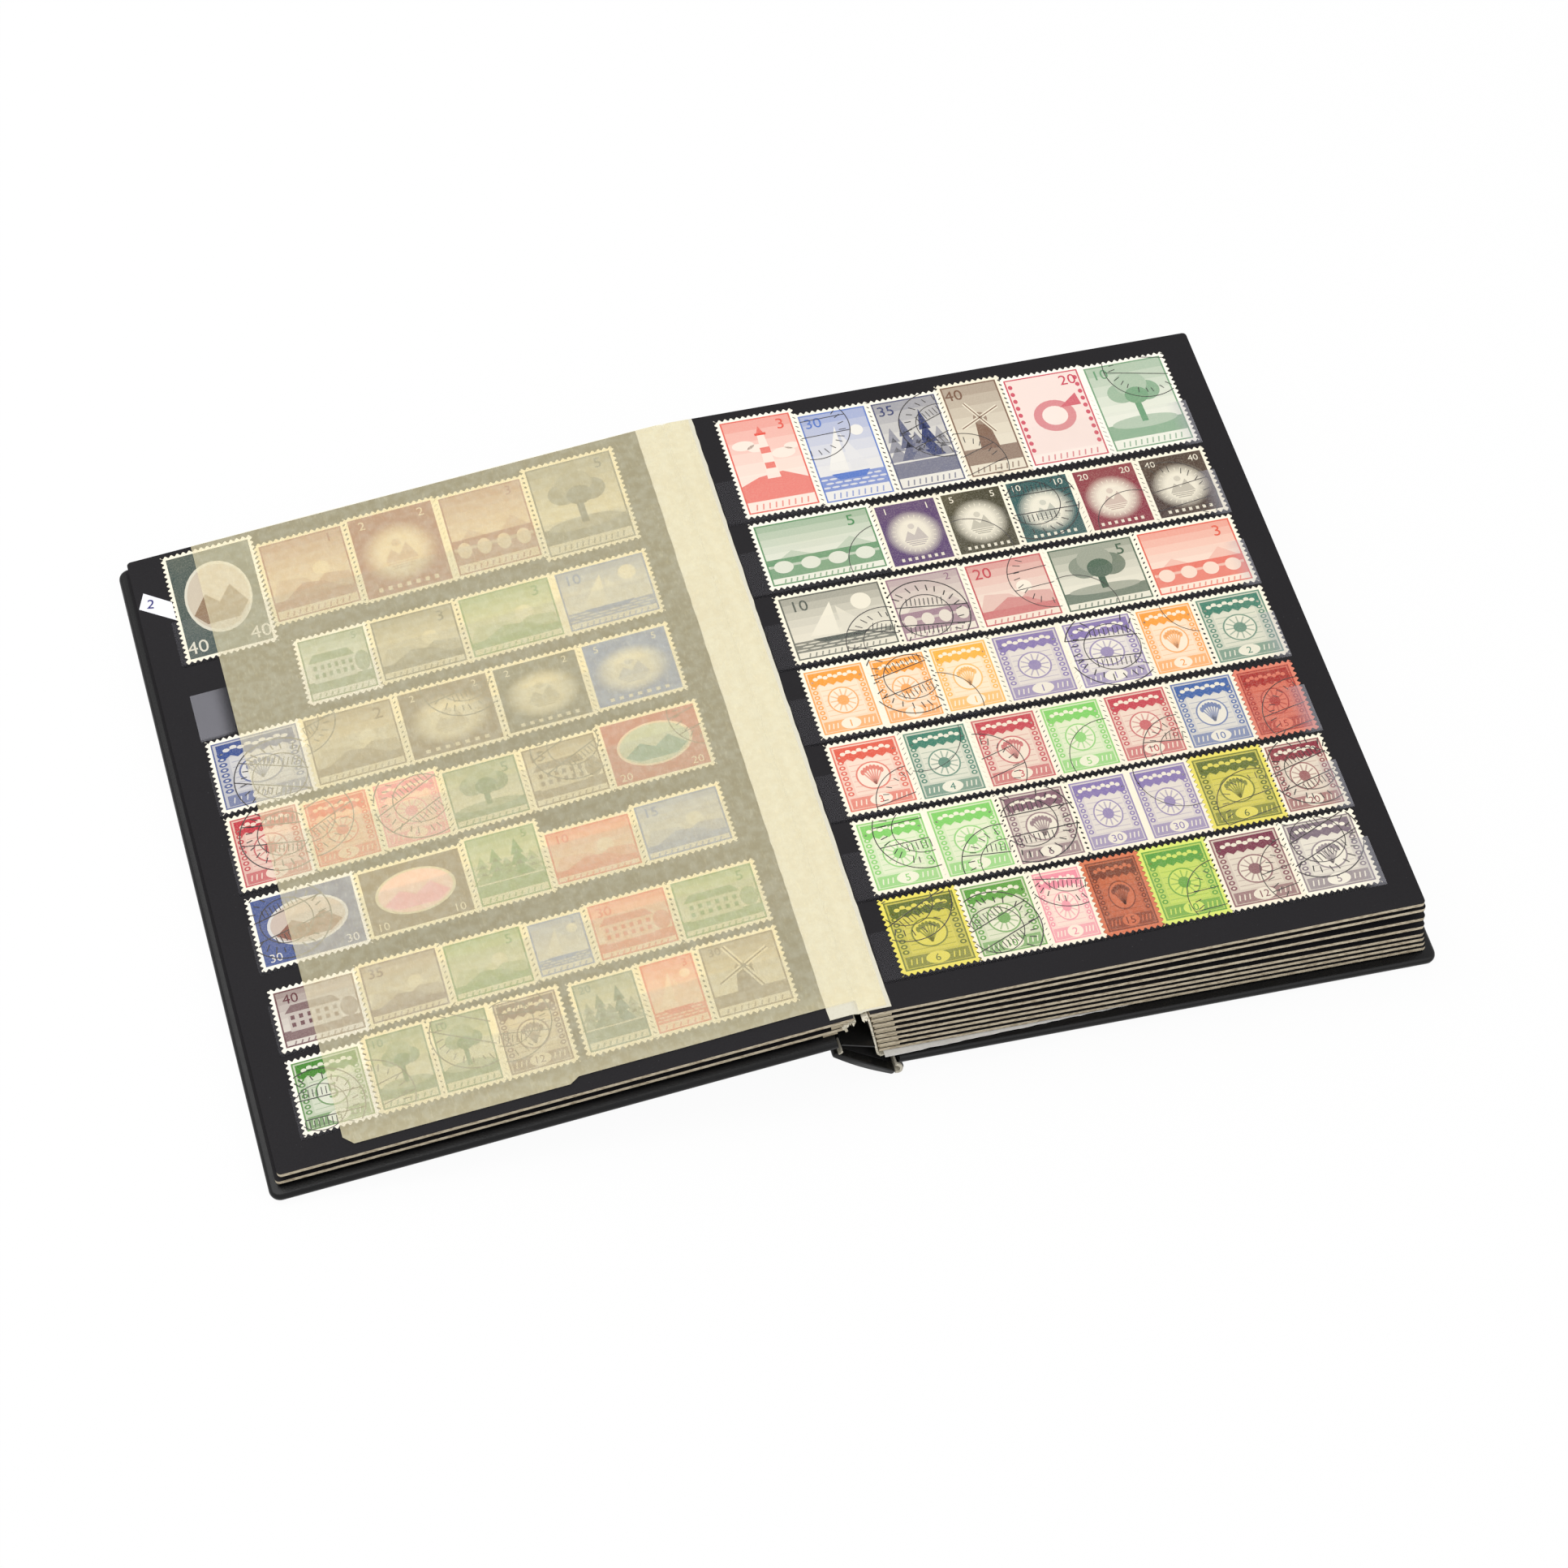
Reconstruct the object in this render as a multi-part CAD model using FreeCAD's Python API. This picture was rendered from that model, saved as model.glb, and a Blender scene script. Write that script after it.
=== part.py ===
import FreeCAD
import Part
import math
import os

# Open stockbook album: case, leaves, pocket strips, stamps and interleaf.
# All sizes are in millimetres. The album lies open with its head towards +Y, its
# spine along Y and +Z up. Sections are drawn from the gutter axis, about which all
# leaves turn: u runs outwards from the gutter, d runs down from it, and each half
# is then tilted to the slope at which it lies.

# Driving dimensions
LEAF_W = 156.0
LEAF_H = 210.0
CARD_T = 1.2
LEAF_R = 1.2
FIRST_LEAF_CUT = 1.5
COVER_W = 154.0
COVER_T = 2.5
COVER_SQUARE = 3.0
COVER_R = 3.2
SKIN_T = 0.3
TURN_IN = 14.0
PASTEDOWN_T = 0.2
PASTEDOWN_MARGIN = 4.0
SPINE_W = 23.0
SPINE_BOARD_T = 1.2
SPINE_TILT = 40.0
SPINE_END_GAP = 1.2
CLOSED_LEAN = 6.0
EDGE_GAP = 0.7
STRIP_T = 0.5
BACK_JOINT_L = 5.6
FRONT_JOINT_DIP = 24.0
FRONT_JOINT_SHARE = 0.9
MULL_T = 0.4
MULL_FOOT = 14.0
GUARD_W = 6.2
GUARD_INSET = 0.2
FILM_T = 0.1
FILM_RISE = 0.14
FILM_H = 16.4
FILM_GLUE = 0.8
STAMP_T = 0.12
SLIP_T = 0.1
TAPE_T = 0.15
TAPE_W = 6.2
GLASSINE_T = 0.08
AXIS_RISE = 0.8
ROWS = 7
FIRST_ROW = 40.6
ROW_PITCH = 26.7

# Right-hand leaves, top one first: gap to the next leaf at the binding, slope
RIGHT_GAPS = [1.4, 1.4, 1.4, 1.4, 1.15, 1.2, 1.15]
RIGHT_SLOPES = [0.37, 0.44, 1.10, 1.64, 2.0, 2.0, 2.0, 2.0]
RIGHT_BIND = [2.6, 7.0]
LEFT_GAP = 2.0
LEFT_BIND = [1.9, 4.4]
FRONT_GAP = 1.3
BACK_GAP = 0.7
FRONT_INNER = 7.3
BACK_INNER = 11.9

# Stamps as (near gutter, far from gutter, top, bottom), from the leaf's corner
RIGHT_STAMPS = [
    [(12.4, 34.9, 2.6, 39.8), (35.1, 56.8, 5.0, 40.6), (57.0, 78.0, 5.2, 40.6),
     (78.2, 96.8, 3.8, 40.6), (97.0, 121.2, 5.2, 40.6), (121.4, 146.6, 5.8, 40.6)],
    [(12.1, 47.2, 41.8, 66.4), (47.4, 66.8, 42.6, 67.3), (67.0, 86.2, 42.6, 67.3),
     (86.4, 106.2, 42.6, 67.3), (106.4, 126.2, 42.8, 67.3), (126.4, 146.9, 42.8, 67.3)],
    [(12.1, 43.0, 68.6, 93.4), (43.2, 66.2, 68.8, 93.6), (66.4, 90.6, 69.0, 93.8),
     (90.8, 117.4, 69.0, 94.0), (117.6, 146.9, 68.8, 94.0)],
    [(12.1, 30.6, 95.2, 120.0), (30.8, 48.1, 95.4, 120.2), (48.3, 66.2, 95.2, 120.0),
     (66.4, 86.8, 95.4, 120.4), (87.0, 108.4, 95.4, 120.7), (108.6, 126.2, 95.6, 120.7),
     (126.4, 147.2, 95.6, 120.7)],
    [(12.1, 32.7, 121.8, 146.8), (32.9, 52.2, 122.0, 147.2), (52.4, 72.2, 122.0, 147.4),
     (72.4, 90.6, 122.2, 147.4), (90.8, 109.9, 122.4, 147.4), (110.1, 129.3, 122.4, 147.4),
     (129.5, 146.6, 122.8, 147.4)],
    [(12.1, 52.4, 148.6, 173.6), (52.6, 72.2, 148.6, 174.1), (72.4, 107.6, 148.6, 174.1),
     (107.8, 128.7, 148.8, 174.1), (128.9, 146.6, 149.0, 174.1)],
    [(12.1, 33.4, 175.2, 200.4), (33.6, 53.4, 175.2, 200.6), (53.6, 68.4, 175.4, 200.8),
     (68.6, 84.6, 175.4, 200.8), (84.8, 103.9, 175.2, 200.8), (104.1, 124.9, 175.4, 200.8),
     (125.1, 146.4, 175.4, 200.8)],
]
LEFT_STAMPS = [
    [(120.2, 146.0, 1.4, 40.6), (93.8, 119.6, 5.2, 35.6), (67.2, 93.6, 4.4, 36.2),
     (41.2, 67.0, 5.0, 36.2), (14.2, 41.0, 3.2, 38.0)],
    [(95.4, 116.2, 41.8, 65.8), (69.8, 95.2, 41.8, 65.2), (41.8, 69.6, 41.8, 65.2),
     (14.2, 41.6, 41.8, 65.2)],
    [(120.4, 146.6, 68.6, 94.0), (93.6, 120.2, 68.8, 94.0), (66.2, 93.4, 68.6, 94.0),
     (40.6, 66.0, 68.6, 93.6), (14.8, 40.4, 68.6, 93.2)],
    [(126.2, 146.6, 95.2, 120.7), (106.8, 126.0, 96.4, 120.5), (87.4, 106.6, 96.4, 120.2),
     (65.0, 87.2, 98.0, 120.0), (42.4, 64.8, 97.8, 120.0), (13.8, 42.2, 96.8, 120.0)],
    [(116.8, 146.6, 123.0, 147.4), (86.8, 116.6, 123.4, 146.8), (65.4, 86.6, 121.8, 146.8),
     (40.0, 65.2, 126.8, 146.2), (14.8, 39.8, 125.6, 146.2)],
    [(123.0, 146.6, 153.6, 174.1), (100.0, 122.8, 152.8, 173.8), (76.8, 99.8, 153.2, 173.8),
     (60.0, 76.6, 153.8, 173.4), (36.8, 59.8, 153.0, 173.4), (12.4, 36.6, 152.8, 173.6)],
    [(126.4, 146.6, 176.6, 200.8), (91.6, 126.0, 175.2, 200.6), (72.4, 91.4, 175.4, 200.6),
     (51.2, 69.8, 176.0, 200.2), (34.8, 51.0, 175.6, 200.2), (12.4, 34.6, 175.2, 200.4)],
]
SLIP_POINTS = [(153.4, 12.2), (146.2, 17.8), (146.2, 24.4), (155.6, 17.4)]
GLASSINE_POINTS = [(0.6, 0.4), (137.2, 0.4), (137.2, 204.2), (134.6, 206.9), (76.4, 207.3),
                   (76.0, 205.2), (0.6, 204.9)]

RIGHT = 1
LEFT = -1
REF_W = 156.0
REF_H = 210.0


def turn(shape, side, slope):
    """Tilt a shape drawn flat so that its outer edge drops by the slope."""
    shape.rotate(FreeCAD.Vector(0, 0, 0), FreeCAD.Vector(0, 1, 0), side * slope)
    return shape


def turn_point(u, d, side, slope):
    """Return x and z of a flat section point after its half is tilted."""
    a = math.radians(side * slope)
    x = side * u
    return (x * math.cos(a) - d * math.sin(a), -x * math.sin(a) - d * math.cos(a))


def flat(side, u, d, y, radius=0.0):
    """Make a flat block from ranges in u, d and y, with rounded outer corners."""
    low_x = u[0] if side == RIGHT else -u[1]
    corner = FreeCAD.Vector(low_x, y[0], -d[1])
    block = Part.makeBox(u[1] - u[0], y[1] - y[0], d[1] - d[0], corner)
    if radius <= 0:
        return block
    outer = []
    for edge in block.Edges:
        a = edge.Vertexes[0].Point
        b = edge.Vertexes[1].Point
        upright = abs(a.z - b.z) > 0.5 * (d[1] - d[0])
        if upright and abs(a.x - side * u[1]) < 1e-6:
            outer.append(edge)
    return block.makeFillet(radius, outer)


def span(height, inset=0.0):
    """Return the range in y of a piece centred on the album's middle."""
    return (-height / 2 + inset, height / 2 - inset)


def from_head(top, bottom):
    """Turn distances below the leaf's head into a range in y."""
    k = LEAF_H / REF_H
    return (LEAF_H / 2 - bottom * k, LEAF_H / 2 - top * k)


def outline(side, points, bind, d):
    """Make a thin plate on a leaf from corner points in leaf coordinates."""
    ku = LEAF_W / REF_W
    kv = LEAF_H / REF_H
    corners = []
    for u, below in points:
        corners.append(FreeCAD.Vector(side * (bind + u * ku), LEAF_H / 2 - below * kv, -d[1]))
    wire = Part.makePolygon(corners + [corners[0]])
    return Part.Face(wire).extrude(FreeCAD.Vector(0, 0, d[1] - d[0]))


def leaf_card(side, bind, depth, width):
    """Make one card leaf with rounded outer corners."""
    return flat(side, (bind, bind + width), (depth, depth + CARD_T), span(LEAF_H), LEAF_R)


def pocket_strips(side, bind, depth):
    """Make the clear strips of both faces, each glued along its lower edge."""
    ku = LEAF_W / REF_W
    u = (bind + 6.6 * ku, bind + 147.8 * ku)
    strips = []
    for face in (1, -1):
        for row in range(ROWS):
            low = from_head(0, FIRST_ROW + ROW_PITCH * row)[0] - FILM_GLUE - 0.1
            film = layer(depth, face, FILM_RISE, FILM_RISE + FILM_T)
            glue = layer(depth, face, 0.0, FILM_RISE + FILM_T)
            sheet = flat(side, u, film, (low, low + FILM_H))
            base = flat(side, u, glue, (low, low + FILM_GLUE))
            strips.append(sheet.fuse(base).removeSplitter())
    return Part.makeCompound(strips)


def layer(depth, face, near, far):
    """Return the depth range of a layer on the upper or lower face of a leaf."""
    if face > 0:
        return (depth - far, depth - near)
    return (depth + CARD_T + near, depth + CARD_T + far)


def stamp_row(side, bind, depth, row):
    """Make the plates of one row of stamps, lying on the leaf's upper face."""
    ku = LEAF_W / REF_W
    plates = []
    for u0, u1, top, bottom in row:
        u = (bind + u0 * ku, bind + u1 * ku)
        plates.append(flat(side, u, layer(depth, 1, 0.0, STAMP_T), from_head(top, bottom)))
    return Part.makeCompound(plates)


def cover(side, inner, depth, slope):
    """Make a cover's board, leatherette and pastedown."""
    outer = inner + COVER_W
    height = LEAF_H + 2 * COVER_SQUARE
    whole = flat(side, (inner, outer), (depth, depth + COVER_T), span(height), COVER_R)
    board = flat(side, (inner, outer - SKIN_T), (depth + SKIN_T, depth + COVER_T - SKIN_T),
                 span(height, SKIN_T), COVER_R - SKIN_T)
    window = flat(side, (inner, outer - TURN_IN), (depth, depth + SKIN_T), span(height, TURN_IN))
    paper = flat(side, (inner, outer - PASTEDOWN_MARGIN), (depth - PASTEDOWN_T, depth),
                 span(height, PASTEDOWN_MARGIN))
    skin = whole.cut(board).cut(window)
    pieces = [board, skin, paper.fuse(window).removeSplitter()]
    return [turn(piece, side, slope) for piece in pieces]


def sheet_between(start, end, inner, outer, y):
    """Make a flat sheet along a section line, from inner to outer beside it."""
    dx = end[0] - start[0]
    dz = end[1] - start[1]
    length = math.hypot(dx, dz)
    nx = -dz / length
    nz = dx / length
    corners = []
    for point, off in ((start, inner), (end, inner), (end, outer), (start, outer)):
        corners.append(FreeCAD.Vector(point[0] + nx * off, y[0], point[1] + nz * off))
    wire = Part.makePolygon(corners + [corners[0]])
    return Part.Face(wire).extrude(FreeCAD.Vector(0, y[1] - y[0], 0))


def angle_of(start, end):
    """Return the direction of a section line in degrees, from +X towards +Z."""
    return math.degrees(math.atan2(end[1] - start[1], end[0] - start[0]))


def shorten(start, end, gap):
    """Return the two ends of a section line with a gap cut from each."""
    length = math.hypot(end[0] - start[0], end[1] - start[1])
    k = gap / length
    dx = (end[0] - start[0]) * k
    dz = (end[1] - start[1]) * k
    return (start[0] + dx, start[1] + dz), (end[0] - dx, end[1] - dz)


# Depths and binding edges of the right-hand leaves
right_depths = [AXIS_RISE]
for gap in RIGHT_GAPS:
    right_depths.append(right_depths[-1] + CARD_T + gap)
slant = (RIGHT_BIND[1] - RIGHT_BIND[0]) / (right_depths[-1] - right_depths[0])
right_binds = [RIGHT_BIND[0] + slant * (d - right_depths[0]) for d in right_depths]
left_depths = [AXIS_RISE, AXIS_RISE + CARD_T + LEFT_GAP]
left_widths = [LEAF_W, LEAF_W - FIRST_LEAF_CUT]

# Covers: both rest on the table along their outer edges
back_slope = RIGHT_SLOPES[-1]
back_depth = right_depths[-1] + CARD_T + BACK_GAP + PASTEDOWN_T
front_depth = left_depths[-1] + CARD_T + FRONT_GAP + PASTEDOWN_T
table_z = turn_point(BACK_INNER + COVER_W, back_depth + COVER_T, RIGHT, back_slope)[1]
front_reach = math.hypot(FRONT_INNER + COVER_W, front_depth + COVER_T)
front_dip = math.atan2(front_depth + COVER_T, FRONT_INNER + COVER_W)
front_slope = math.degrees(math.asin(-table_z / front_reach) - front_dip)
close_turn = 180.0 + front_slope + RIGHT_SLOPES[0]

# Spine and joints at rest
spine_t = SPINE_BOARD_T + 2 * SKIN_T
tilt = math.radians(SPINE_TILT)
back_edge = turn_point(BACK_INNER - EDGE_GAP, back_depth + COVER_T / 2, RIGHT, back_slope)
front_edge = turn_point(FRONT_INNER - EDGE_GAP, front_depth + COVER_T / 2, LEFT, front_slope)
spine_back = (back_edge[0], back_edge[1] - BACK_JOINT_L)
spine_front = (spine_back[0] - SPINE_W * math.cos(tilt), spine_back[1] + SPINE_W * math.sin(tilt))

# Lining along the slanted binding edges
edges = []
for bind, depth, slope in zip(right_binds, right_depths, RIGHT_SLOPES):
    edges.append(turn_point(bind, depth + CARD_T, RIGHT, slope))
bind_dir = math.radians(angle_of(edges[-1], edges[0]))
along = (math.cos(bind_dir), math.sin(bind_dir))
outward = (-along[1], along[0])
stand_off = max((e[0] - edges[0][0]) * outward[0] + (e[1] - edges[0][1]) * outward[1] for e in edges)
stand_off += 0.12
mull_top = (edges[0][0] + outward[0] * stand_off, edges[0][1] + outward[1] * stand_off)
foot_level = turn_point(BACK_INNER, back_depth - PASTEDOWN_T, RIGHT, back_slope)[1]
mull_run = (mull_top[1] - foot_level) / along[1]
mull_low = (mull_top[0] - along[0] * mull_run, mull_top[1] - along[1] * mull_run)

# Closed album: the spine stands along the binding edges, just outside the lining
clear = stand_off + MULL_T + 0.35 + spine_t / 2
base = (edges[-1][0] + outward[0] * clear, edges[-1][1] + outward[1] * clear)
lean = bind_dir + math.radians(CLOSED_LEAN)
stand = (math.cos(lean), math.sin(lean))
reach = (base[0] - back_edge[0]) * stand[0] + (base[1] - back_edge[1]) * stand[1]
off = math.hypot(base[0] - back_edge[0] - reach * stand[0], base[1] - back_edge[1] - reach * stand[1])
rise = math.sqrt(max(BACK_JOINT_L ** 2 - off ** 2, 0.0)) - reach
closed_back = (base[0] + stand[0] * rise, base[1] + stand[1] * rise)
closed_front = (closed_back[0] + stand[0] * SPINE_W, closed_back[1] + stand[1] * SPINE_W)
closed_edge = turn_point(FRONT_INNER - EDGE_GAP, -(front_depth + COVER_T / 2), RIGHT, RIGHT_SLOPES[0])
front_joint_l = math.hypot(closed_edge[0] - closed_front[0], closed_edge[1] - closed_front[1])
dip = math.radians(FRONT_JOINT_DIP)
strip_l = front_joint_l * FRONT_JOINT_SHARE
joint_tip = (front_edge[0] + strip_l * math.cos(dip), front_edge[1] - strip_l * math.sin(dip))

# Turns of the coupled joints about +Y while the album closes
back_joint_turn = (angle_of(back_edge, spine_back) - angle_of(back_edge, closed_back)) % 360.0
spine_turn = angle_of(spine_back, spine_front) - angle_of(closed_back, closed_front) - back_joint_turn
front_joint_turn = -FRONT_JOINT_DIP - angle_of(closed_edge, closed_front) - close_turn
front_joint_turn = (front_joint_turn + 180.0) % 360.0 - 180.0


def build_case():
    """Make the case: boards, leatherette, pastedowns, spine, joints and lining."""
    parts = {}
    front = cover(LEFT, FRONT_INNER, front_depth, front_slope)
    back = cover(RIGHT, BACK_INNER, back_depth, back_slope)
    for name, pieces in (("front", front), ("back", back)):
        for kind, shape in zip(("board", "leatherette", "pastedown"), pieces):
            parts[name + "_" + kind] = shape
    height = LEAF_H + 2 * COVER_SQUARE
    half = SPINE_BOARD_T / 2
    a, b = shorten(spine_front, spine_back, SPINE_END_GAP)
    parts["spine_board"] = sheet_between(a, b, half, -half, span(height, SKIN_T))
    skin = sheet_between(a, b, -half, -half - SKIN_T, span(height))
    for end in (-1, 1):
        cap = sorted((end * (height / 2 - SKIN_T), end * height / 2))
        skin = skin.fuse(sheet_between(a, b, half, -half, cap))
    parts["spine_leatherette"] = skin.removeSplitter()
    lining = span(height, COVER_SQUARE)
    parts["spine_lining"] = sheet_between(a, b, half, half + SKIN_T, lining)
    width = span(height, 0.5)
    a, b = shorten(back_edge, spine_back, 0.3)
    parts["back_joint"] = sheet_between(a, b, STRIP_T / 2, -STRIP_T / 2, width)
    a, b = shorten(front_edge, joint_tip, 0.3)
    parts["front_joint"] = sheet_between(a, b, STRIP_T / 2, -STRIP_T / 2, width)
    wall = sheet_between(mull_top, mull_low, 0.0, -MULL_T, span(LEAF_H, 3.0))
    foot_u = (right_binds[-1] - 0.9, BACK_INNER + MULL_FOOT)
    foot_d = (back_depth - PASTEDOWN_T - MULL_T, back_depth - PASTEDOWN_T)
    foot = turn(flat(RIGHT, foot_u, foot_d, span(LEAF_H, 3.0)), RIGHT, back_slope)
    parts["mull_lining"] = wall.fuse(foot).removeSplitter()
    return parts


def build_leaves():
    """Make every leaf with its guard and strips, and what the open leaves carry."""
    parts = {}
    for i in range(2):
        number = "%02d" % (2 - i)
        bind = LEFT_BIND[i]
        depth = left_depths[i]
        end = left_depths[1] if i == 0 else front_depth - PASTEDOWN_T
        guard_u = LEFT_BIND[i] + (1.4 if i == 0 else 2.2)
        guard_d = (depth + CARD_T, end - 0.05)
        guard = flat(LEFT, (guard_u, bind + GUARD_W), guard_d, span(LEAF_H, GUARD_INSET))
        card = leaf_card(LEFT, bind, depth, left_widths[i])
        parts["leaf_" + number] = turn(card, LEFT, front_slope)
        parts["guard_" + number] = turn(guard, LEFT, front_slope)
        parts["strips_" + number] = turn(pocket_strips(LEFT, bind, depth), LEFT, front_slope)
    for i in range(len(right_depths)):
        number = "%02d" % (3 + i)
        bind = right_binds[i]
        depth = right_depths[i]
        slope = RIGHT_SLOPES[i]
        last = i == len(right_depths) - 1
        end = back_depth - PASTEDOWN_T - MULL_T - 0.05 if last else right_depths[i + 1] - 0.05
        guard_u = bind + 0.4 if last else right_binds[i + 1]
        guard_d = (depth + CARD_T, end)
        guard = flat(RIGHT, (guard_u, bind + GUARD_W), guard_d, span(LEAF_H, GUARD_INSET))
        parts["leaf_" + number] = turn(leaf_card(RIGHT, bind, depth, LEAF_W), RIGHT, slope)
        parts["guard_" + number] = turn(guard, RIGHT, slope)
        parts["strips_" + number] = turn(pocket_strips(RIGHT, bind, depth), RIGHT, slope)
    return parts


def build_contents():
    """Make the stamps, gutter tape, interleaf and paper slip of the open pages."""
    parts = {}
    top = AXIS_RISE
    for row in range(ROWS):
        left = stamp_row(LEFT, LEFT_BIND[0], top, LEFT_STAMPS[row])
        right = stamp_row(RIGHT, RIGHT_BIND[0], top, RIGHT_STAMPS[row])
        parts["left_stamps_row_%d" % (row + 1)] = turn(left, LEFT, front_slope)
        parts["right_stamps_row_%d" % (row + 1)] = turn(right, RIGHT, RIGHT_SLOPES[0])
    tape_d = (top - TAPE_T, top)
    tape_y = span(LEAF_H, 1.2)
    left_tape = flat(LEFT, (0.15, LEFT_BIND[0] + TAPE_W), tape_d, tape_y)
    right_tape = flat(RIGHT, (0.15, RIGHT_BIND[0] + TAPE_W), tape_d, tape_y)
    parts["gutter_tape_left"] = turn(left_tape, LEFT, front_slope)
    parts["gutter_tape_right"] = turn(right_tape, RIGHT, RIGHT_SLOPES[0])
    slip = outline(LEFT, SLIP_POINTS, LEFT_BIND[0], (top - SLIP_T, top))
    parts["paper_slip"] = turn(slip, LEFT, front_slope)
    level = top - FILM_RISE - FILM_T - 0.06
    sheet = outline(LEFT, GLASSINE_POINTS, LEFT_BIND[0], (level - GLASSINE_T, level))
    parts["interleaf"] = turn(sheet, LEFT, front_slope)
    return parts


def build():
    """Make all pieces and move them so that the box's bottom centre is the origin."""
    parts = build_case()
    parts.update(build_leaves())
    parts.update(build_contents())
    box = FreeCAD.BoundBox()
    for shape in parts.values():
        box.add(shape.BoundBox)
    shift = FreeCAD.Vector(-box.Center.x, -box.Center.y, -box.ZMin)
    for shape in parts.values():
        shape.translate(shift)
    return parts, shift


PARTS, SHIFT = build()
os.makedirs("parts", exist_ok=True)
for name, shape in PARTS.items():
    shape.exportStep("parts/" + name + ".step")
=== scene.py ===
"""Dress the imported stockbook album: materials, printed stamps, paper and cloth details."""

import logging
import math
import random
from dataclasses import dataclass, field
from enum import Enum
from typing import Any, Callable, Iterable, Sequence

import bmesh
import bpy
from mathutils import Matrix, Vector


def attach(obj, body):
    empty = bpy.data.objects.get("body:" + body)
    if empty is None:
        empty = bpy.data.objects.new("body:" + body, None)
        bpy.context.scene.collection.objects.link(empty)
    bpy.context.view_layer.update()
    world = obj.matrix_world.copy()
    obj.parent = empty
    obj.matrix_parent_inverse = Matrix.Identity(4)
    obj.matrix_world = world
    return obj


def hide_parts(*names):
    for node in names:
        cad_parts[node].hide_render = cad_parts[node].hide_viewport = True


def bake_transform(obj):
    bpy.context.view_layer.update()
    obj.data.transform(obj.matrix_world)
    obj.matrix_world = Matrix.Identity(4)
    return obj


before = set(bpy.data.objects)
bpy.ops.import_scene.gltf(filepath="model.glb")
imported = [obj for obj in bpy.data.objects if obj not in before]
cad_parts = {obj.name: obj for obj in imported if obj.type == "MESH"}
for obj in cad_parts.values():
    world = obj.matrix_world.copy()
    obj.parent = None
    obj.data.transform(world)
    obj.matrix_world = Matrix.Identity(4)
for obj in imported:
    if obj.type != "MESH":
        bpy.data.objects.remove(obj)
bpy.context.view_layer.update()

LOG = logging.getLogger("album")
MM = 0.001
SAME_PLACE = 1e-7
SHARP_FROM = 50.0
Point = tuple[float, float]
Colour = tuple[float, float, float]
PLAIN: Colour = (1.0, 1.0, 1.0)


def linear(red: float, green: float, blue: float) -> Colour:
    """Turn a colour of 0 to 255 as seen on screen into a linear colour.

    Args:
        red: its red part.
        green: its green part.
        blue: its blue part.

    Returns:
        The linear colour.
    """
    values = []
    for part in (red, green, blue):
        c = part / 255.0
        values.append(c / 12.92 if c <= 0.04045 else ((c + 0.055) / 1.055) ** 2.4)
    return (values[0], values[1], values[2])


def deepened(ink: Colour, heavy: float) -> Colour:
    """Return an ink laid on more heavily: darker, and of a stronger hue."""
    red, green, blue = (part ** (1.0 + heavy) for part in ink)
    return (red, green, blue)


def blend_colours(a: Colour, b: Colour, share: float) -> Colour:
    """Return the colour that lies the given share of the way from a to b."""
    return tuple(x + (y - x) * share for x, y in zip(a, b))


class Value:
    """A shader value: one node's output, with operators that add Math nodes."""

    def __init__(self, tree: bpy.types.NodeTree, socket: bpy.types.NodeSocket) -> None:
        """Wrap a socket of a material's node tree."""
        self.tree = tree
        self.socket = socket

    def _math(self, operation: str, first: Any, second: Any) -> "Value":
        """Add a Math node.

        Args:
            operation: the node's operation.
            first: a Value or a number.
            second: a Value or a number.

        Returns:
            The node's result.
        """
        node = add_node(self.tree, "ShaderNodeMath", {"operation": operation}, {0: first, 1: second})
        return Value(self.tree, node.outputs[0])

    def __add__(self, other: Any) -> "Value":
        """Add a value or number."""
        return self._math("ADD", self, other)

    def __radd__(self, other: Any) -> "Value":
        """Add to a number."""
        return self._math("ADD", other, self)

    def __sub__(self, other: Any) -> "Value":
        """Subtract a value or number."""
        return self._math("SUBTRACT", self, other)

    def __rsub__(self, other: Any) -> "Value":
        """Subtract from a number."""
        return self._math("SUBTRACT", other, self)

    def __mul__(self, other: Any) -> "Value":
        """Multiply by a value or number."""
        return self._math("MULTIPLY", self, other)

    def __rmul__(self, other: Any) -> "Value":
        """Multiply a number."""
        return self._math("MULTIPLY", other, self)

    def above(self, edge: float) -> "Value":
        """Return 1 where the value is above the edge, otherwise 0."""
        return self._math("GREATER_THAN", self, edge)

    def at_most(self, limit: float) -> "Value":
        """Return the value, or the limit where the value is larger."""
        return self._math("MINIMUM", self, limit)

    def size(self) -> "Value":
        """Return the value without its sign."""
        return self._math("ABSOLUTE", self, 0.0)

    def wave(self) -> "Value":
        """Return the sine of the value."""
        return self._math("SINE", self, 0.0)

    def between(self, low: float, high: float) -> "Value":
        """Return a smooth step from 0 at low to 1 at high."""
        node = add_node(self.tree, "ShaderNodeMapRange", {"interpolation_type": "SMOOTHSTEP"},
                        {"Value": self, "From Min": low, "From Max": high})
        return Value(self.tree, node.outputs["Result"])


def add_node(tree: bpy.types.NodeTree, kind: str, settings: dict[str, Any],
             sockets: dict[Any, Any]) -> bpy.types.Node:
    """Add a node to a tree.

    Args:
        tree: the tree that gets the node.
        kind: the node's type.
        settings: attributes set before its sockets.
        sockets: values or links of its sockets, by name or number.

    Returns:
        The new node.
    """
    node = tree.nodes.new(kind)
    for key, value in settings.items():
        setattr(node, key, value)
    for key, value in sockets.items():
        feed(tree, node.inputs[key], value)
    return node


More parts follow.
